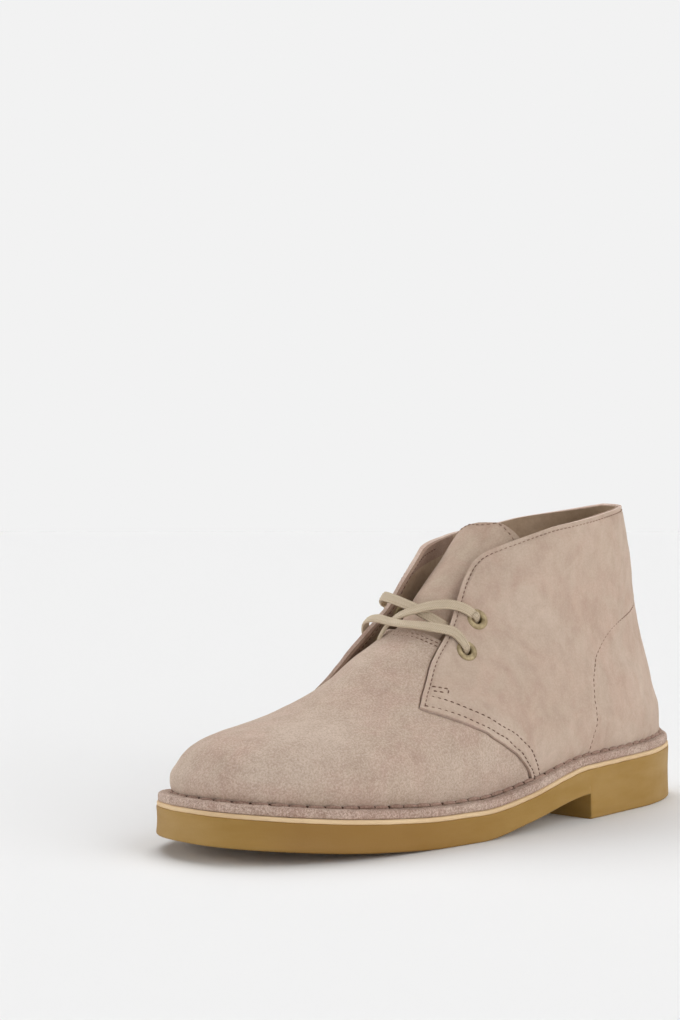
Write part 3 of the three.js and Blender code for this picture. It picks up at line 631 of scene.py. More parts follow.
def leather_material(name, dark, base, light):
    """Smooth leather with small cells and broad pale patches."""
    t = Nodes(name)
    patches = t.spread(t.noise(30, 3, 0.55), 0.34, 0.66)
    cells = t.add("ShaderNodeTexVoronoi", {"Scale": 900, "Vector": t.place}, feature="SMOOTH_F1")
    colour = t.blend(patches, srgb(*base), srgb(*light))
    colour = t.blend(t.spread(t.noise(300, 4, 0.6), 0.35, 0.75, 0, 0.6), colour, srgb(*dark))
    normal = t.bump(cells.outputs["Distance"], 0.35, 0.00018)
    return t.finish(colour, t.spread(patches, 0, 1, 0.62, 0.78), normal, specular_ior_level=0.3)


def brass_material(name):
    """Antique brass with pale and dark patches."""
    t = Nodes(name)
    tarnish = t.spread(t.noise(420, 4, 0.65), 0.35, 0.68)
    colour = t.blend(tarnish, srgb(176, 158, 122), srgb(134, 116, 84))
    normal = t.bump(t.noise(1800, 3, 0.6), 0.25, 0.00006)
    return t.finish(colour, t.spread(tarnish, 0, 1, 0.45, 0.62), normal, metallic=0.4)


def woven_material(name):
    """Flat cotton braid: u runs along the lace in metres, v across it."""
    t = Nodes(name)
    uv = t.add("ShaderNodeUVMap", uv_map="braid").outputs["UV"]
    plies = [t.add("ShaderNodeTexWave", {
        "Scale": 420, "Distortion": 0.6, "Vector": t.stretch((1, 1, 1), (0, 0, lean), uv),
    }, wave_type="BANDS", bands_direction="X").outputs["Fac"] for lean in (0.62, -0.62)]
    weave = t.times(*plies)
    soft = t.spread(t.noise(180, 3, 0.6), 0.3, 0.7)
    colour = t.blend(t.times(soft, 0.5), srgb(206, 190, 166), srgb(190, 172, 148))
    # painted shade: the braid is darkened where its weave is low, in the grooves between the plies
    colour = t.blend(t.spread(weave, 0.0, 0.7, 0.3, 0.0), colour, srgb(150, 130, 106))
    normal = t.bump(t.noise(3200, 2, 0.6), 0.3, 0.0001, Normal=t.bump(weave, 0.35, 0.0001))
    return t.finish(colour, t.spread(soft, 0, 1, 0.85, 0.97), normal, sheen_weight=0.12,
                    specular_ior_level=0.15)


def thread_material(name, dark, light):
    """Waxed thread with its twist."""
    t = Nodes(name)
    twist = t.spread(t.noise(2600, 2, 0.6, t.stretch((1, 1, 1), (0.7, 0.4, 0.2))), 0.35, 0.65)
    normal = t.bump(t.noise(3000, 2, 0.6), 0.4, 0.0001)
    colour = t.blend(twist, srgb(*dark), srgb(*light))
    return t.finish(colour, t.spread(twist, 0, 1, 0.7, 0.9), normal, specular_ior_level=0.2)


# Colours as on a screen: dark, main and light, and for suede a rosy one and how rough its nap is.
SUEDE = suede_material("suede", (154, 131, 114), (192, 171, 153), (208, 190, 175), (192, 164, 149), 1.15)
SUEDE_QUARTER = suede_material(
    "suede_quarter", (157, 133, 116), (191, 170, 152), (206, 187, 171), (190, 163, 146), 0.42)
SUEDE_TONGUE = suede_material(
    "suede_tongue", (152, 129, 112), (182, 161, 142), (196, 178, 160), (184, 156, 139), 0.6)
SUEDE_FLANGE = suede_material(
    "suede_flange", (130, 101, 86), (183, 157, 141), (219, 199, 185), (180, 150, 136), 1.5)
SUEDE_EDGE = suede_material(
    "suede_edge", (170, 144, 128), (210, 188, 173), (226, 208, 196), (204, 176, 163), 0.9)
FACING = suede_material(
    "suede_facing", (112, 88, 74), (152, 126, 108), (170, 144, 126), (152, 122, 106), 0.8)
THREAD_JOIN = suede_material(
    "thread_join", (108, 82, 69), (160, 132, 117), (182, 155, 140), (154, 125, 111), 1.2)
# its last colour is painted shade, darkening the rubber over the ball of the foot
GUM = rubber_material(
    "gum_rubber", (147, 112, 50), (163, 128, 65), (175, 142, 86), 1100, 0.5, 0.66, (140, 102, 44))
CREAM = rubber_material(
    "cream_rubber", (196, 162, 122), (224, 195, 154), (234, 210, 174), 700, 0.7, 0.85)
LINING = leather_material("lining_leather", (142, 118, 96), (168, 143, 118), (182, 158, 134))
BRASS = brass_material("antique_brass")
COTTON = woven_material("cotton_braid")
THREAD = thread_material("thread_brown", (104, 78, 66), (134, 106, 92))
THREAD_LIGHT = thread_material("thread_greige", (134, 109, 94), (160, 136, 119))
# painted shade: a dark colour for the blobs that stand in the stitch holes
HOLE_SHADE = thread_material("stitch_hole_shade", (62, 42, 34), (84, 60, 48))

# Sole.
ROUND = 1.0                   # the rounding of the outsole's lower edge
OCHRE_DROP = 0.65             # how far the ochre and the cream rubber end below their solids' tops
CREAM_DROP = 0.92
BREAST_ROUND = 1.3            # the rounding of the heel's front corner, and how far it reaches
BREAST_REACH = 0.7
PLAN_TURNS = np.linspace(0, 1, 181)


def ochre_top(x):
    return sole_top(x) - OCHRE_DROP


def outsole_turns():
    """Turns with a few more of them round the heel's breast, and the place of the breast."""
    breast = -SOLE_LENGTH / 2 + HEEL_LENGTH
    near_breast = np.array([-3.0, -1.7, -0.9, -0.4, 0.0, BREAST_SLOPE])
    edges = np.arccos(1 - 2 * length_share(breast + near_breast)) / np.pi
    turns = PLAN_TURNS
    near = np.abs(turns[:, None] - edges[None, :]).min(axis=1) < 0.0022
    return np.sort(np.concatenate([turns[~near], edges])), breast + BREAST_SLOPE / 2


def build_outsole():
    """The ochre rubber with its heel, hollow sides and a rounded lower edge."""
    turns, breast = outsole_turns()

    def bottom(x):
        return np.where(x < breast, 0, underside(x))

    def layer(inset, height):
        def points(around):
            x = (along_share(split_turn(around)[0]) - 0.5) * SOLE_LENGTH
            corner = BREAST_ROUND * np.exp(-np.abs(x - breast) / BREAST_REACH)
            corner = corner * (x < breast + 1) * (height(x) < underside(x) - 0.5)
            return np.concatenate([sole_edge(around, inset + corner), height(x)[:, None]], -1)
        return points

    layers = [layer(ROUND, bottom)]
    for turned in np.radians((30, 60, 90)):
        rise = ROUND * (1 - np.cos(turned))
        layers.append(layer(ROUND * (1 - np.sin(turned)), lambda x, rise=rise: bottom(x) + rise))
    for share in (0.2, 0.4, 0.6, 0.8, 0.93):
        hollow = 0.35 * math.sin(math.pi * share)
        layers.append(layer(hollow, lambda x, s=share: mix(bottom(x) + ROUND, ochre_top(x) - 0.4, s)))
    layers.append(layer(0.1, lambda x: ochre_top(x) - 0.2))
    layers.append(layer(0.4, ochre_top))
    slab("outsole_rubber", turns, layers, GUM, ["outsole"], 40)


def build_midsole():
    """The thin cream layer, a little wavy along its edge."""
    def layer(inset, share, rise):
        def points(around):
            edge = sole_edge(around, inset)
            wave = np.array([noise.noise(Vector((x * 0.11, y * 0.11, 3))) for x, y in edge])
            edge = sole_edge(around, inset + 0.16 * wave)
            x = edge[:, 0]
            height = mix(ochre_top(x) - 0.02, midsole_top(x) - CREAM_DROP, share) + rise
            return np.concatenate([edge, (height + 0.12 * wave)[:, None]], -1)
        return points

    # way in from the edge, share of the height, and millimetres above that
    outline = [(0.5, 0, 0), (0.3, 0, 0.25), (0.25, 0.5, 0), (0.3, 1, -0.3), (0.6, 1, 0)]
    layers = [layer(*place) for place in outline]
    slab("midsole_layer", PLAN_TURNS, layers, CREAM, ["midsole"], 60)


def build_sock():
    """The board and sock under the foot."""
    def layer(depth, height):
        def points(around):
            inside = off_last(around, 0, -(WALL + 2 * FIT + depth))
            return np.concatenate([inside[:, :2], (midsole_top(inside[:, 0]) + FIT + height)[:, None]], -1)
        return points

    layers = [layer(0, 0), layer(0, INSOLE_THICK - 0.5), layer(0.5, INSOLE_THICK)]
    slab("insole_sock", PLAN_TURNS, layers, LINING, ["insole"], 60)


# Upper.
QUARTER_THICK = 1.6           # suede alone, without its lining
VAMP_THICK = 1.1
APART = 0.02                  # between suede and lining
HOLE_RADIUS = EYELET_BORE + 0.25
JOIN_PITCH = 7.4              # the stitches of the junction, their height above the flange, and how
JOIN_HEIGHT = 1.15            # far they stand out
JOIN_LIFT = 0.75
RIM_FRONT = 87                # the place in the rim's row where its thread turns pale
FOOT_RUN = run_length(last_point(np.linspace(0, 2, 1601), 0))
JUNCTION_STITCHES = round(FOOT_RUN[-1] / JOIN_PITCH)


def foot_phase(turn):
    """Place along the junction in stitches, from the back seam right round."""
    run = np.interp(np.mod(turn, 2), np.linspace(0, 2, 1601), FOOT_RUN)
    return run / FOOT_RUN[-1] * JUNCTION_STITCHES


def pucker(turn, level):
    """The leather swells between the stitches of the junction and is held in at each of them."""
    height = level_height(level)
    swell = 0.5 - 0.5 * np.cos(2 * np.pi * foot_phase(turn))
    return 0.55 * swell * np.exp(-(height / 3.0) ** 2) - 0.15 * np.exp(-(height / 1.1) ** 2)


def settle(points, level):
    """The toe lies a little flatter on top and fuller at its foot than the last."""
    height = level_height(level)
    x = points[..., 0]
    flatter = 0.8 * smooth((x - 60) / 35) * smooth((height - 7) / 6)
    fuller = 1.1 * smooth((x - 100) / 25) * np.exp(-((height - 3.5) / 3.2) ** 2)
    return fuller - flatter


def on_quarter(side, points):
    """Turn and level of the places of the last nearest to points given on the outer side."""
    turn = np.linspace(0, 1, 241)
    level = np.linspace(0, 2.05, 206)
    grid_turn, grid_level = np.meshgrid(turn, level, indexing="ij")
    grid = last_point(grid_turn, grid_level)
    found = []
    for point in points:
        gap = np.linalg.norm(grid - point, axis=-1)
        i, j = np.unravel_index(gap.argmin(), gap.shape)
        at = np.array([turn[i], level[j]])
        for _ in range(4):
            base = last_point(at[0], at[1])
            by_turn = (last_point(at[0] + 1e-3, at[1]) - base) / 1e-3
            by_level = (last_point(at[0], at[1] + 1e-3) - base) / 1e-3
            step, *_ = np.linalg.lstsq(np.stack([by_turn, by_level], -1), point - base, rcond=None)
            at = np.clip(at + step, [0, 0], [1, 2.1])
        found.append(at)
    found = np.array(found)
    if side < 0:
        found[:, 0] = 2 - found[:, 0]
    return found


# Rows of stitches on the quarters and, at the throat, on the vamp, as around and level.
COUNTER_ROW = [(0.384, 0.010), (0.381, 0.059), (0.378, 0.125), (0.372, 0.231), (0.370, 0.300), (0.375, 0.375),
               (0.385, 0.446), (0.391, 0.520), (0.391, 0.603), (0.378, 0.698), (0.344, 0.795), (0.306, 0.846),
               (0.239, 0.895), (0.160, 0.950), (0.080, 0.990), (0.000, 1.005)]
SEAM_ROW = [(0.733, 0.580), (0.703, 0.560), (0.659, 0.521), (0.614, 0.467), (0.567, 0.402), (0.536, 0.342),
            (0.515, 0.257), (0.499, 0.170), (0.486, 0.089), (0.478, 0.015)]
SECOND_ROW = [(0.736, 0.631), (0.692, 0.597), (0.648, 0.548), (0.605, 0.491), (0.572, 0.439), (0.522, 0.350),
              (0.502, 0.272), (0.489, 0.192), (0.479, 0.115), (0.471, 0.020)]
TACK_TOP = [(0.746, 0.683), (0.727, 0.674), (0.708, 0.664)]
TACK_MIDDLE = [(0.738, 0.657), (0.724, 0.651), (0.712, 0.645)]
TACK_END = [(0.708, 0.664), (0.706, 0.650), (0.704, 0.634)]
THROAT_ROWS = (
    [(1.000, 1.012), (0.969, 1.009), (0.898, 0.996), (0.854, 0.971), (0.829, 0.956), (0.800, 0.936)],
    [(1.000, 0.989), (0.949, 0.987), (0.894, 0.977), (0.840, 0.949), (0.813, 0.931), (0.793, 0.916)],
)


def spline(rows, count=160, side=1):
    """A smooth line on the last through a few places given as around and level."""
    rows = np.asarray(rows, float)
    run = run_length(last_point(rows[:, 0], rows[:, 1]))
    fine = np.linspace(0, run[-1], count)
    line = np.stack([curve(run, rows[:, i])(fine) for i in range(2)], -1)
    return line if side > 0 else line * [-1, 1] + [2, 0]


def quarter_edge(side, count=420):
    """The quarter's edge from the foot of the seam over its corner and front to the back of the rim."""
    low = np.linspace(0, 1, 241)
    high = np.linspace(0, RIM_LAST, 361)[1:]
    around = np.concatenate([seam_around(low), rim_around(high)])
    level = np.concatenate([seam_level(low), (rim_outer if side > 0 else rim_inner)(high)])
    return around, level


def beside_edge(side, away, start, end):
    """Turn and level along the quarter's edge, moved inwards, between two shares of its length."""
    around, level = quarter_edge(side)
    line = last_point(around, level)
    run = run_length(line)
    run /= run[-1]
    even_run = np.linspace(start, end, 200)
    around, level = np.interp(even_run, run, around), np.interp(even_run, run, level)
    line = last_point(around, level)
    along = unit(np.gradient(line, axis=0))
    inward = np.cross(along, last_normal(around, level))
    return on_quarter(side, line + inward * away)


def quarter_skin(turn, level, lift=0.0):
    """A point of a quarter's outside."""
    return off_last(turn, level, quarter_lift(turn, level) + lift)


def punch(piece, eyelets):
    """Cuts the holes of the eyelets through a piece and keeps the result as its mesh."""
    work = bmesh.new()
    for eyelet in eyelets:
        place, axis = eyelet_frame(eyelet)
        turned = Vector(axis).to_track_quat("Z", "Y").to_matrix().to_4x4()
        turned.translation = (place + [0, SHIFT_Y, 0]) * MM
        bmesh.ops.create_cone(work, cap_ends=True, segments=32, radius1=HOLE_RADIUS * MM,
                              radius2=HOLE_RADIUS * MM, depth=16 * MM, matrix=turned)
    cutter = bpy.data.meshes.new("cutter")
    work.to_mesh(cutter)
    work.free()
    tool = bpy.data.objects.new("cutter", cutter)
    bpy.context.collection.objects.link(tool)
    cut = piece.modifiers.new("holes", "BOOLEAN")
    cut.object = tool
    cut.operation = "DIFFERENCE"
    cut.solver = "EXACT"
    whole = piece.data
    piece.data = bpy.data.meshes.new_from_object(piece.evaluated_get(bpy.context.evaluated_depsgraph_get()))
    piece.modifiers.clear()
    bpy.data.objects.remove(tool)
    bpy.data.meshes.remove(cutter)
    bpy.data.meshes.remove(whole)


def grooved(points, shape, grooves):
    """The leather's shape with soft grooves along rows of places, each with a width and a depth."""
    for row, width, depth in grooves:
        shape = shape - valley(points, last_point(row[:, 0], row[:, 1]), width, depth)
    return shape


def stretches(*parts):
    """Numbers that run through stretches, each given as its start, its end and a count."""
    return np.unique(np.concatenate([np.linspace(*part) for part in parts]))


def build_quarter(side, word, grooves):
    """A quarter's suede and its lining, with the holes of its eyelets."""
    # rows are closer together near the seam and the rim, where the stitches pull the leather in
    rise = stretches((0, 0.06, 9), (0.06, 0.7, 62), (0.7, 0.93, 34), (0.93, 1, 13))
    index = stretches((0, 1.4, 22), (1.4, 7, 60), (7, RIM_LAST, 100))
    index, rise = np.meshgrid(index, rise)
    turn, level = quarter_map(index, rise, side)
    lift = quarter_lift(turn, level)
    base = last_point(turn, level)
    shape = grooved(base, uneven(base) + pucker(turn, level), grooves)
    skin = sheet("quarter_" + word, off_last(turn, level, lift + shape),
                 off_last(turn, level, lift + 0.5 * shape - QUARTER_THICK),
                 [SUEDE_QUARTER, SUEDE_EDGE], ["upper"], 0.5)
    # the facing: a band of thin suede inside, along the rim and the front as far as the collar's side
    along_rim, along_front = rise[:-1, :-1] > 0.905, index[:-1, :-1] < 1.5
    lining = sheet("lining_" + word, off_last(turn, level, lift + 0.5 * shape - QUARTER_THICK - APART),
                   off_last(turn, level, lift - WALL - OVERLAP_STEP), [LINING, FACING], ["upper"],
                   facing=(along_rim | along_front) & (index[:-1, :-1] < 9))
    for piece in (skin, lining):
        punch(piece, [eyelet for eyelet in EYELETS if word in eyelet])


def build_vamp(grooves):
    """The vamp's suede and its lining, both halves in one."""
    columns = 132
    front = even(lambda rise: last_point(*vamp_map(0 * rise, rise)), columns)
    edge = even(lambda rise: last_point(*vamp_map(0 * rise + 1, rise)), columns)
    # the vamp runs a little way in under the quarters
    share = stretches((0, 0.93, 120), (0.93, 1.012, 14))
    share, step = np.meshgrid(share, np.arange(columns))
    turn, level = vamp_map(share, mix(front[step], edge[step], np.clip(share, 0, 1)))
    turn = np.concatenate([turn[:, ::-1], 2 - turn[:, 1:]], axis=1)
    level = np.concatenate([level[:, ::-1], level[:, 1:]], axis=1)
    base = last_point(turn, level)
    shape = grooved(base, uneven(base) + pucker(turn, level) + settle(base, level), grooves)
    sheet("vamp", off_last(turn, level, shape), off_last(turn, level, 0.5 * shape - VAMP_THICK),
          [SUEDE, SUEDE_EDGE], ["upper"])
    sheet("vamp_lining", off_last(turn, level, 0.5 * shape - VAMP_THICK - APART),
          off_last(turn, level, -WALL), LINING, ["upper"], 0.3)


# The flange's outline: share of the way from its edge to the foot of the upper, height, and way in.
FLANGE_OUTLINE = [
    (0.9, -1.15, 0.0), (0.1, -1.15, 0.3), (0.0, -0.9, 0.05), (0.0, -0.1, -0.04), (0.0, 0.8, -0.04),
    (0.0, 1.5, 0.02), (0.02, 2.0, 0.05), (0.07, 2.32, 0.1), (0.15, 2.5, 0), (0.26, 2.6, 0), (0.38, 2.66, 0),
    (0.5, 2.7, 0), (0.6, 2.7, 0), (0.7, 2.66, 0), (0.79, 2.5, 0), (0.87, 2.2, 0), (0.94, 1.9, 0),
    (1.1, 1.6, 0), (1.3, 0.6, 0),
]


def build_flange():
    """The upper's turned-out edge: a rough strip with a groove under its stitches."""
    turns = np.linspace(0, 2, 1801)[:-1]
    root = last_point(turns, 0)
    held = 0.5 + 0.5 * np.cos(2 * np.pi * foot_phase(turns))

    def rough(scale, seed):
        return np.array([noise.noise(Vector((p[0] * scale, p[1] * scale, seed))) for p in root])

    coarse, slow = rough(0.28, 9), rough(0.05, 5)
    loops = []
    for k, (share, rise, inset) in enumerate(FLANGE_OUTLINE):
        hidden = k < 2 or k > 16
        fuzz = rough(1.3, 20 + k) * (0.0 if hidden else 0.24)
        edge = sole_edge(turns, FLANGE_INSET + inset + 0.2 * coarse + 0.15 * slow + 0.7 * fuzz)
        flat = mix(edge, root[:, :2], share)
        top = np.clip((rise - 1.2) / 0.8, 0, 1)
        dip = np.exp(-((share - 0.86) / 0.14) ** 2) * 0.45 * held
        z = midsole_top(flat[:, 0]) + FIT + rise + fuzz * top + 0.22 * coarse * top - dip
        loops.append(np.concatenate([flat, z[:, None]], -1))
    ring("flange", loops, SUEDE_FLANGE, ["upper"], 75)


def build_junction():
    """Thick stitches, pointed at both ends, along the foot of the upper, with a dark blob of painted shade
    for the hole between them.
    """
    turns = np.linspace(0, 2, 3201)
    level = np.full(len(turns), JOIN_HEIGHT / INSTEP_HEIGHT)
    base = last_point(turns, level)
    on_quarters = smooth((SEAM[0, 0] + 0.01 - split_turn(turns)[0]) / 0.02)
    at_toe = smooth((base[:, 0] - 80) / 30)
    lift = JOIN_LIFT + 0.2 * at_toe + OVERLAP_STEP * on_quarters + settle(base, level)
    line = base + last_normal(turns, level) * lift[:, None]
    run = run_length(line)
    pitch = run[-1] / JUNCTION_STITCHES
    share = np.linspace(0, 1, 11)
    swell = np.sin(np.pi * share) ** 0.6
    threads = Threads()
    for k in range(JUNCTION_STITCHES):
        start = (k + 0.5) * pitch + random.uniform(-0.2, 0.2)
        length = pitch * random.uniform(0.98, 1.1)
        centre = at_run(np.mod(start - length / 2 + length * share, run[-1]), run, line)
        back = smooth((20 - centre[5, 0]) / 120)
        centre[:, 2] += 0.35 * swell + random.uniform(-0.12, 0.12) + 0.1 * back
        radius = mix(0.9, 1.0, back) * (0.3 + 0.7 * swell) * random.uniform(0.9, 1.08)
        threads.add(centre, radius, 8)
        end = np.mod((k + 1) * pitch, run[-1])
        bite = at_run(end, run, line)
        along = unit(line[np.searchsorted(run, end) % (len(line) - 1) + 1] - bite)
        out = unit(np.cross((0, 0, 1), along))
        # painted shade: a small dark blob sits where the thread goes in, for the shade in its hole
        hole = bite + 0.02 * out + along * np.linspace(-0.8, 0.8, 5)[:, None] + [0, 0, 0.3]
        threads.add(hole, np.array([0.15, 0.5, 0.62, 0.5, 0.15]) * random.uniform(0.6, 1.1), 8, 1)
    threads.join("junction_stitches", [THREAD_JOIN, HOLE_SHADE])


def tongue_at(up, across):
    """Turn, level and depth of a place on the tongue: up from 0 to 1, across from 1 to -1."""
    level = mix(TONGUE[0, 0], TONGUE[-1, 0], 1 - (1 - up) ** 1.3)
    turn = 1 + across * np.where(across > 0, tongue_inner(level), tongue_outer(level))
    crown = smooth((turn - 0.95) / 0.2) * smooth((level - 1) / 0.35) * smooth((2 - level) / 0.3)
    lean = TONGUE_LEAN * smooth((level - 1) / (TONGUE[-1, 0] - 1))
    return turn, level, WALL + 2.5 * FIT + lean - TONGUE_CROWN * crown


def build_tongue():
    """The tongue's leather, and the stitches along its edge."""
    up, across = np.meshgrid(np.linspace(0, 1, 110), np.linspace(1, -1, 90), indexing="ij")
    turn, level, depth = tongue_at(up, across)
    shape = 0.6 * uneven(last_point(turn, level) * 1.3)
    sheet("tongue_leather", off_last(turn, level, shape - depth),
          off_last(turn, level, 0.8 * shape - depth - TONGUE_THICK), SUEDE_TONGUE, ["tongue"], 0.5)
    # stitches up one side, over the top and down the other side
    side, top, count = 1 - TONGUE_STITCHES, 1 - TONGUE_STITCHES / 2, 120
    up = np.linspace(0.25, top, count)
    up = np.concatenate([up, np.full(count, top), up[::-1]])
    across = np.concatenate([np.full(count, side), np.linspace(side, -side, count), np.full(count, -side)])
    turn, level, depth = tongue_at(up, across)
    row = np.stack([turn, level], -1)
    stitches("tongue_stitches", [row], off_last, depth, 3.0, 1.9, 0.5, THREAD_LIGHT)


# Eyelets and lace.
def eyelet_frame(name):
    """An eyelet's place on the quarter and its axis, outwards."""
    turn, level = EYELETS[name]
    by_turn = quarter_skin(turn + 2e-3, level) - quarter_skin(turn - 2e-3, level)
    by_level = quarter_skin(turn, level + 5e-3) - quarter_skin(turn, level - 5e-3)
    return quarter_skin(turn, level), unit(np.cross(by_level, by_turn))


def build_eyelets():
    """Domed brass rings with a flat collar inside the wall."""
    wide, bore, inside = EYELET_RADIUS, EYELET_BORE, -(WALL + OVERLAP_STEP)
    outline = [
        (bore, inside - 0.9), (bore * 1.5, inside - 1.0), (wide * 0.8, inside - 0.6),
        (wide * 0.8, inside - 0.1), (bore + 0.4, inside), (bore + 0.4, 0.1), (wide * 0.98, 0.12), (wide, 0.3),
        (wide * 0.97, 0.52), (wide * 0.88, 0.74), (wide * 0.76, 0.86), (wide * 0.66, 0.82), (bore + 0.3, 0.6),
        (bore + 0.06, 0.25), (bore, -0.3),
    ]
    sides = 64
    angle = np.arange(sides) * 2 * np.pi / sides
    for name in EYELETS:
        place, axis = eyelet_frame(name)
        first = unit(np.cross(axis, [0, 0, 1.0]))
        second = np.cross(axis, first)
        loops = [place + axis * h + r * (np.cos(angle)[:, None] * first + np.sin(angle)[:, None] * second)
                 for r, h in outline]
        ring(name.replace("eyelet", "ring"), loops, BRASS, [name], 60)


def ribbon(name, path):
    """A flat ribbed lace along a path of places, ways that its flat side faces, and widths."""
    gaps = np.linalg.norm(np.diff(path[:, :3], axis=0), axis=1)
    run = np.concatenate([[0], np.cumsum(np.sqrt(gaps))])
    tangent = np.gradient(path, axis=0)
    tangent[1:-1] = (path[2:] - path[:-2]) / (run[2:] - run[:-2])[:, None]
    tangent[0] /= run[1]
    tangent[-1] /= run[-1] - run[-2]
    spots = np.linspace(0, run[-1], 900)
    i = np.clip(np.searchsorted(run, spots, side="right") - 1, 0, len(run) - 2)
    step = (run[i + 1] - run[i])[:, None]
    swept = hermite(i, (spots - run[i])[:, None] / step, step, path, tangent)

    length = run_length(swept[:, :3])
    steps = np.linspace(0, length[-1], max(12, int(length[-1] / 0.55)))
    swept = at_run(steps, length, swept)
    line, up, width = swept[:, None, :3], swept[:, 3:6], swept[:, None, 6:]
    along = unit(np.gradient(swept[:, :3], axis=0))
    up = unit(up - along * (up * along).sum(-1, keepdims=True))
    across = np.cross(along, up)
    sides = 40
    angle = np.arange(sides) * 2 * np.pi / sides
    flat = np.sign(np.cos(angle)) * np.abs(np.cos(angle)) ** 0.62
    bulk = np.sign(np.sin(angle)) * np.abs(np.sin(angle)) ** 0.5 * (1 + 0.28 * np.cos(flat * math.pi * 4))
    thick = LACE_THICK * (1 + 0.45 * (1 - width / LACE_WIDTH))
    loops = (line + across[:, None, :] * (flat[None, :, None] * width / 2)
             + up[:, None, :] * bulk[None, :, None] * thick / 2)
    piece = solid(name, loops, tube_faces(len(steps), sides), COTTON, ["lace"], 70)
    layer = piece.data.uv_layers.new(name="braid")
    places = np.stack([np.repeat(steps, sides), np.tile(flat, len(steps)) * LACE_WIDTH / 2], -1) * MM
    owner = np.zeros(len(piece.data.loops), int)
    piece.data.loops.foreach_get("vertex_index", owner)
    layer.data.foreach_set("uv", places[owner].ravel())


def strand(rows, start=None, end=None):
    """The path of a strand on the last; it dives through an eyelet at its ends."""
    turn, level, lift, width = np.array(rows).T
    path = np.concatenate([off_last(turn, level, lift), last_normal(turn, level), width[:, None]], axis=1)
    for eyelet, first in ((start, True), (end, False)):
        if eyelet is None:
            continue
        centre, axis = eyelet_frame(eyelet)
        away = unit((path[0, :3] if first else path[-1, :3]) - centre)
        away = unit(away - axis * (away @ axis))
        places = np.stack([centre - axis * 5.5 - away * 0.6, centre - axis * 1.6 - away * 0.2,
                           centre + axis * 0.5 + away * 0.5, centre + axis * 1.45 + away * 1.9])
        facing = unit(np.stack([-away, -away, axis * 0.6 - away, axis - 0.25 * away]))
        dive = np.concatenate([places, facing, np.array([[2.8, 2.9, 3.2, 3.7]]).T], axis=1)
        path = np.concatenate([dive, path] if first else [path, dive[::-1]])
    return path


# Strands as turn, level, height above the last, and width.
BAR = [
    (0.750, 0.930, 3.5, 4.3), (0.779, 0.963, 4.2, 4.6), (0.806, 0.981, 4.5, 4.6), (0.854, 0.999, 4.5, 4.6),
    (0.902, 1.006, 4.3, 4.6), (0.946, 1.009, 4.4, 4.6), (1.000, 1.012, 4.8, 4.6), (1.090, 1.003, 7.4, 4.6),
    (1.150, 0.976, 9.4, 4.6), (1.195, 0.944, 9.3, 4.5), (1.232, 0.912, 8.6, 4.4), (1.262, 0.888, 8.2, 4.2),
]
UPPER_OUTER = [
    (0.758, 1.093, 2.7, 4.2), (0.785, 1.134, 3.9, 4.6), (0.821, 1.170, 4.9, 4.6), (0.857, 1.182, 5.4, 4.6),
    (0.903, 1.170, 5.4, 4.6), (0.947, 1.133, 5.2, 4.6), (0.996, 1.080, 4.9, 4.6), (1.037, 1.026, 3.6, 4.6),
    (1.075, 0.975, 1.2, 4.4), (1.095, 0.935, -2.0, 4.2), (1.100, 0.900, -5.5, 4.0),
]
UPPER_INNER = [
    (1.235, 1.110, 11.3, 4.6), (1.160, 1.175, 10.7, 4.6), (1.080, 1.190, 7.6, 4.6), (1.026, 1.190, 5.0, 4.6),
    (0.985, 1.183, 3.4, 4.6), (0.942, 1.157, 2.2, 4.6), (0.893, 1.120, 1.2, 4.6), (0.848, 1.078, 0.2, 4.6),
    (0.815, 1.052, -1.2, 4.2),
]


def build_lace():
    """The lace's bar between the lower eyelets and its two crossing strands."""
    ribbon("lace_bar", strand(BAR, "eyelet_outer_lower", "eyelet_inner_lower"))
    ribbon("lace_upper_outer", strand(UPPER_OUTER, "eyelet_outer_upper"))
    ribbon("lace_upper_inner", strand(UPPER_INNER, "eyelet_inner_upper"))


def seam_edge(side):
    """The line on the vamp along the quarter's edge, from the flange to the throat."""
    share = np.linspace(0, 1, 300)
    around, level = seam_around(share), seam_level(share)
    return np.stack([around if side > 0 else 2 - around, level], -1)


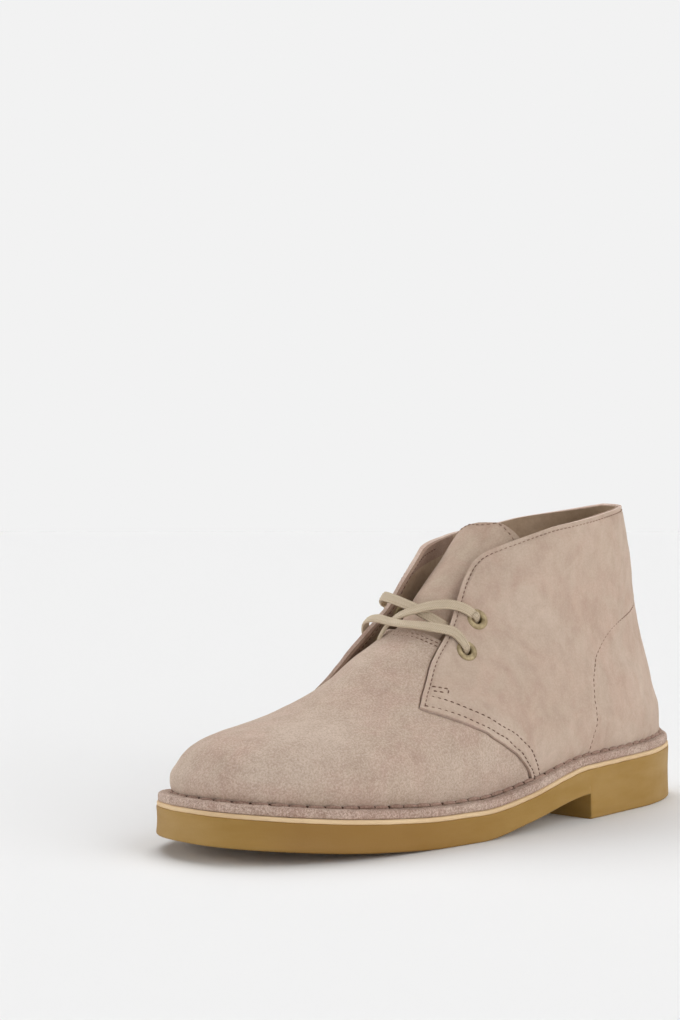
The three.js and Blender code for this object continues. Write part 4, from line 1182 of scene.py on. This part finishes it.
def build_upper():
    """Both quarters and the vamp, with their rows of stitches."""
    inside = WALL + OVERLAP_STEP + 0.08
    for side, word in ((1, "outer"), (-1, "inner")):
        around, level = quarter_edge(side)
        run = run_length(last_point(around, level))
        near = np.abs(around - SEAM[SEAM_CORNER, 0]) + np.abs(level - SEAM[SEAM_CORNER, 1])
        corner = run[near.argmin()] / run[-1]
        rim = beside_edge(side, 1.9, corner + 0.006, 0.998)
        facing = beside_edge(side, 2.6, 0.30, 0.62)
        seam, second, counter = (spline(rows, 200, side) for rows in (SEAM_ROW, SECOND_ROW, COUNTER_ROW))
        tack = [spline(rows, 60, side) for rows in (TACK_TOP, TACK_MIDDLE, TACK_END)]
        grooves = [(seam, 0.9, 0.34), (second, 0.9, 0.32), (rim, 0.9, 0.45), (counter, 0.9, 0.28)]
        build_quarter(side, word, grooves + [(row, 0.7, 0.2) for row in tack])
        # rows of places, how far they are sunk, and the pitch, length and thickness of their stitches
        for kind, *how in (
            ("seam", [seam, second], 0.2, 2.9, 1.6, 0.44, THREAD),
            ("rim", [rim[:RIM_FRONT + 1]], 0.2 if side > 0 else 0.36, 2.4, 1.4, 0.42, THREAD),
            ("collar", [rim[RIM_FRONT:]], 0.25, 2.4, 1.4, 0.4, THREAD_LIGHT),
            ("facing", [facing], inside, 2.6, 1.6, 0.5, THREAD, -1),
            ("counter", [counter], 0.16, 2.6, 1.6, 0.4, THREAD_LIGHT),
            ("tack", tack, 0.14, 2.6, 1.7, 0.56, THREAD),
        ):
            stitches(f"stitches_{kind}_{word}", how[0], quarter_skin, *how[1:])
    rows = []
    for points in THROAT_ROWS:
        outer = spline(points)
        rows.append(np.concatenate([outer[::-1], (outer * [-1, 1] + [2, 0])[1:]]))
    build_vamp([(row, 0.6, 0.22) for row in rows] + [(seam_edge(side), 0.42, 1.0) for side in (1, -1)])
    stitches("stitches_throat", rows, off_last, 0.14, 2.2, 1.4, 0.42, THREAD)


# Camera, floor and light.
CAMERA_PLACE = (0.6544, 0.5908 + SHIFT_Y * MM, 0.1387)
CAMERA_ALONG = (-0.7040, -0.7102, 0.0)
LENS = 69.62                  # with 36 mm of sensor along the picture's longer side
STAGE_RADIUS = 12             # metres
PALE = srgb(242, 242, 242)[0]
FLOOR_TRIM = 0.938            # makes the lit floor as pale as the dome
AMBIENT = 0.2
SUNS = {
    # name: where it shines to, strength, spread in degrees
    "top_softbox": ((0.25, 0.43, -0.87), 1.6, 50),
    "high_softbox": ((0.38, -0.66, -0.64), 1.05, 55),
    "side_softbox": ((-0.10, -0.98, -0.12), 1.5, 55),
    "toe_softbox": ((-0.76, 0.64, -0.12), 2.15, 55),
}
DOWNWARD = sum(strength * Vector(way).normalized().z for way, strength, _ in SUNS.values())
FLOOR_LIGHT = AMBIENT - DOWNWARD / math.pi


def aim(thing, way):
    """Puts a camera or a lamp into the scene so that it faces a way."""
    thing.rotation_mode = "QUATERNION"
    thing.rotation_quaternion = Vector(way).to_track_quat("-Z", "Y")
    bpy.context.collection.objects.link(thing)


def plain_material(name, colour, glow=0.0):
    """An even matt grey that can shine by itself."""
    made = bpy.data.materials.new(name)
    made.use_nodes = True
    for key, value in {
        "Base Color": (colour, colour, colour, 1), "Roughness": 1.0, "Specular IOR Level": 0.0,
        "Emission Color": (1, 1, 1, 1), "Emission Strength": glow,
    }.items():
        made.node_tree.nodes["Principled BSDF"].inputs[key].default_value = value
    return made


def build_camera():
    """The photo's camera, as solved from the sole's edges."""
    camera = bpy.data.objects.new("camera", bpy.data.cameras.new("camera"))
    camera.data.lens = LENS
    camera.data.sensor_width = 36
    camera.data.clip_start = 0.01
    camera.data.clip_end = 100
    camera.location = CAMERA_PLACE
    aim(camera, CAMERA_ALONG)
    bpy.context.scene.camera = camera


def build_stage():
    """A pale floor, and a pale dome round it that only shows and sheds no light."""
    rim = [(STAGE_RADIUS * math.cos(a * math.pi / 32), STAGE_RADIUS * math.sin(a * math.pi / 32), 0)
           for a in range(64)]
    floor = bpy.data.meshes.new("floor")
    floor.from_pydata(rim, [], [tuple(range(64))])
    floor.materials.append(plain_material("paper", FLOOR_TRIM * PALE / FLOOR_LIGHT))
    work = bmesh.new()
    bmesh.ops.create_uvsphere(work, u_segments=48, v_segments=24, radius=STAGE_RADIUS)
    dome = bpy.data.meshes.new("dome")
    work.to_mesh(dome)
    work.free()
    dome.materials.append(plain_material("dome_paper", 0.0, PALE))
    for mesh in (floor, dome):
        piece = bpy.data.objects.new(mesh.name, mesh)
        bpy.context.collection.objects.link(piece)
    piece.visible_diffuse = piece.visible_glossy = piece.visible_transmission = piece.visible_shadow = False


def build_light():
    """Four broad soft suns and an even world light."""
    for name, (way, strength, spread) in SUNS.items():
        light = bpy.data.lights.new(name, "SUN")
        light.energy = strength
        light.angle = math.radians(spread)
        aim(bpy.data.objects.new(name, light), way)
    world = bpy.data.worlds.new("studio")
    bpy.context.scene.world = world
    world.use_nodes = True
    world.node_tree.nodes["Background"].inputs["Color"].default_value = (AMBIENT, AMBIENT, AMBIENT, 1)
    bpy.context.scene.view_settings.view_transform = "Standard"
    bpy.context.scene.view_settings.look = "None"


build_outsole()
build_midsole()
build_sock()
build_upper()
build_flange()
build_junction()
build_tongue()
build_eyelets()
build_lace()
build_camera()
build_stage()
build_light()
